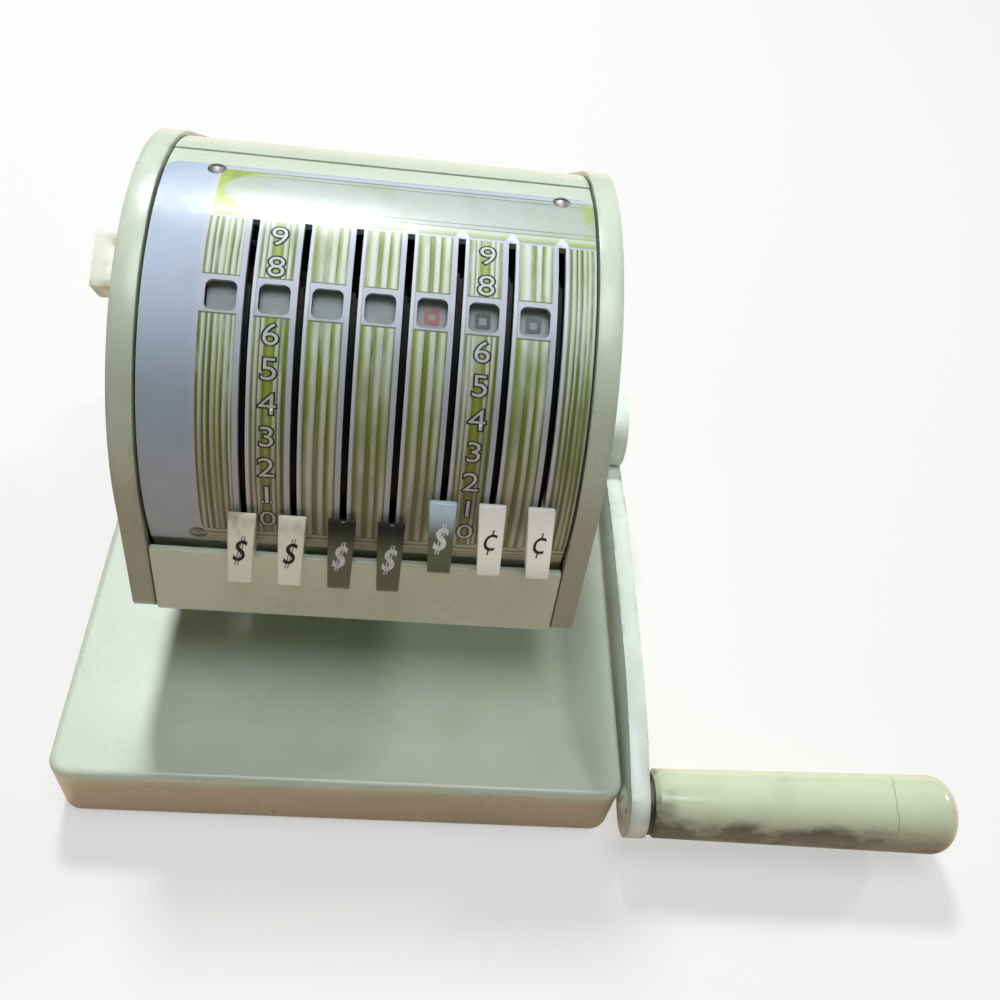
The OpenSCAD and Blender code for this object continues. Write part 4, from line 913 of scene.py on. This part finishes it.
# floor, light and backdrop
lights = {
    "window": {"place": (-0.20, 1.0, 1.65), "wide": 0.30, "power": 25.0, "colour": (0.96, 1.0, 1.0)},
    "overhead": {"place": (0.06, -0.26, 2.1), "wide": 1.2, "power": 17.0, "colour": (0.97, 0.99, 1.0)},
    "side": {"energy": 0.8, "came": (0.80, 0.42, 0.50), "wide": 8, "colour": (1.0, 0.99, 0.92)},
    "sky": 0.10, "skyColour": (1.0, 0.82, 0.60),
    # the floor as the camera sees it, a share of it glowing, and as it lights the part
    "floor": (240, 241, 240), "glow": 0.55, "glowStrength": 0.9, "bounce": (236, 216, 194),
}


def seenByCamera(tree):
    return tree.nodes.new("ShaderNodeLightPath").outputs["Is Camera Ray"]


def addFloor():
    build = bmesh.new()
    bmesh.ops.create_grid(build, x_segments=1, y_segments=1, size=4)
    mesh = bpy.data.meshes.new("floor")
    build.to_mesh(mesh)
    build.free()
    # what the floor throws back on the part is warmer than what is seen of it
    material, tree, shader, place = newMaterial("floor")
    seen = seenByCamera(tree)
    plug(tree, shader.inputs["Base Color"], blend(tree, seen, srgb(*lights["bounce"]), srgb(*lights["floor"])))
    shader.inputs["Roughness"].default_value = 0.7
    glow = tree.nodes.new("ShaderNodeEmission")
    glow.inputs["Strength"].default_value = lights["glowStrength"]
    mix = tree.nodes.new("ShaderNodeMixShader")
    plug(tree, mix.inputs[0], calc(tree, "MULTIPLY", seen, lights["glow"]))
    tree.links.new(shader.outputs[0], mix.inputs[1])
    tree.links.new(glow.outputs[0], mix.inputs[2])
    tree.links.new(mix.outputs[0], tree.nodes["Material Output"].inputs["Surface"])
    plane = bpy.data.objects.new("floor", mesh)
    plane.location.z = -0.0002
    mesh.materials.append(material)
    scene.collection.objects.link(plane)


def addLamp(name, kind, came):
    data = bpy.data.lights.new(name, kind)
    data.color = lights[name]["colour"]
    lamp = bpy.data.objects.new(name, data)
    lamp.rotation_mode = "QUATERNION"
    lamp.rotation_quaternion = Vector(came).to_track_quat("Z", "Y")
    scene.collection.objects.link(lamp)
    return lamp


def addSoftBox(name):
    look = lights[name]
    lamp = addLamp(name, "AREA", Vector(look["place"]) - Vector((0, 0, 0.06)))
    lamp.location = look["place"]
    lamp.data.shape = "DISK"
    lamp.data.size = look["wide"]
    lamp.data.energy = look["power"]


def addSide():
    look = lights["side"]
    lamp = addLamp("side", "SUN", look["came"])
    lamp.data.energy = look["energy"]
    lamp.data.angle = math.radians(look["wide"])


def addWorld():
    world = bpy.data.worlds.new("studio")
    scene.world = world
    world.use_nodes = True
    tree = world.node_tree
    back = tree.nodes["Background"]
    back.inputs["Color"].default_value = (*lights["skyColour"], 1)
    back.inputs["Strength"].default_value = lights["sky"]
    white = tree.nodes.new("ShaderNodeBackground")
    white.inputs["Color"].default_value = (1, 1, 1, 1)
    white.inputs["Strength"].default_value = 1.0
    mix = tree.nodes.new("ShaderNodeMixShader")
    tree.links.new(seenByCamera(tree), mix.inputs[0])
    tree.links.new(back.outputs[0], mix.inputs[1])
    tree.links.new(white.outputs[0], mix.inputs[2])
    tree.links.new(mix.outputs[0], tree.nodes["World Output"].inputs["Surface"])


addFloor()
addWorld()
addSoftBox("window")
addSoftBox("overhead")
addSide()
print("light and floor made")
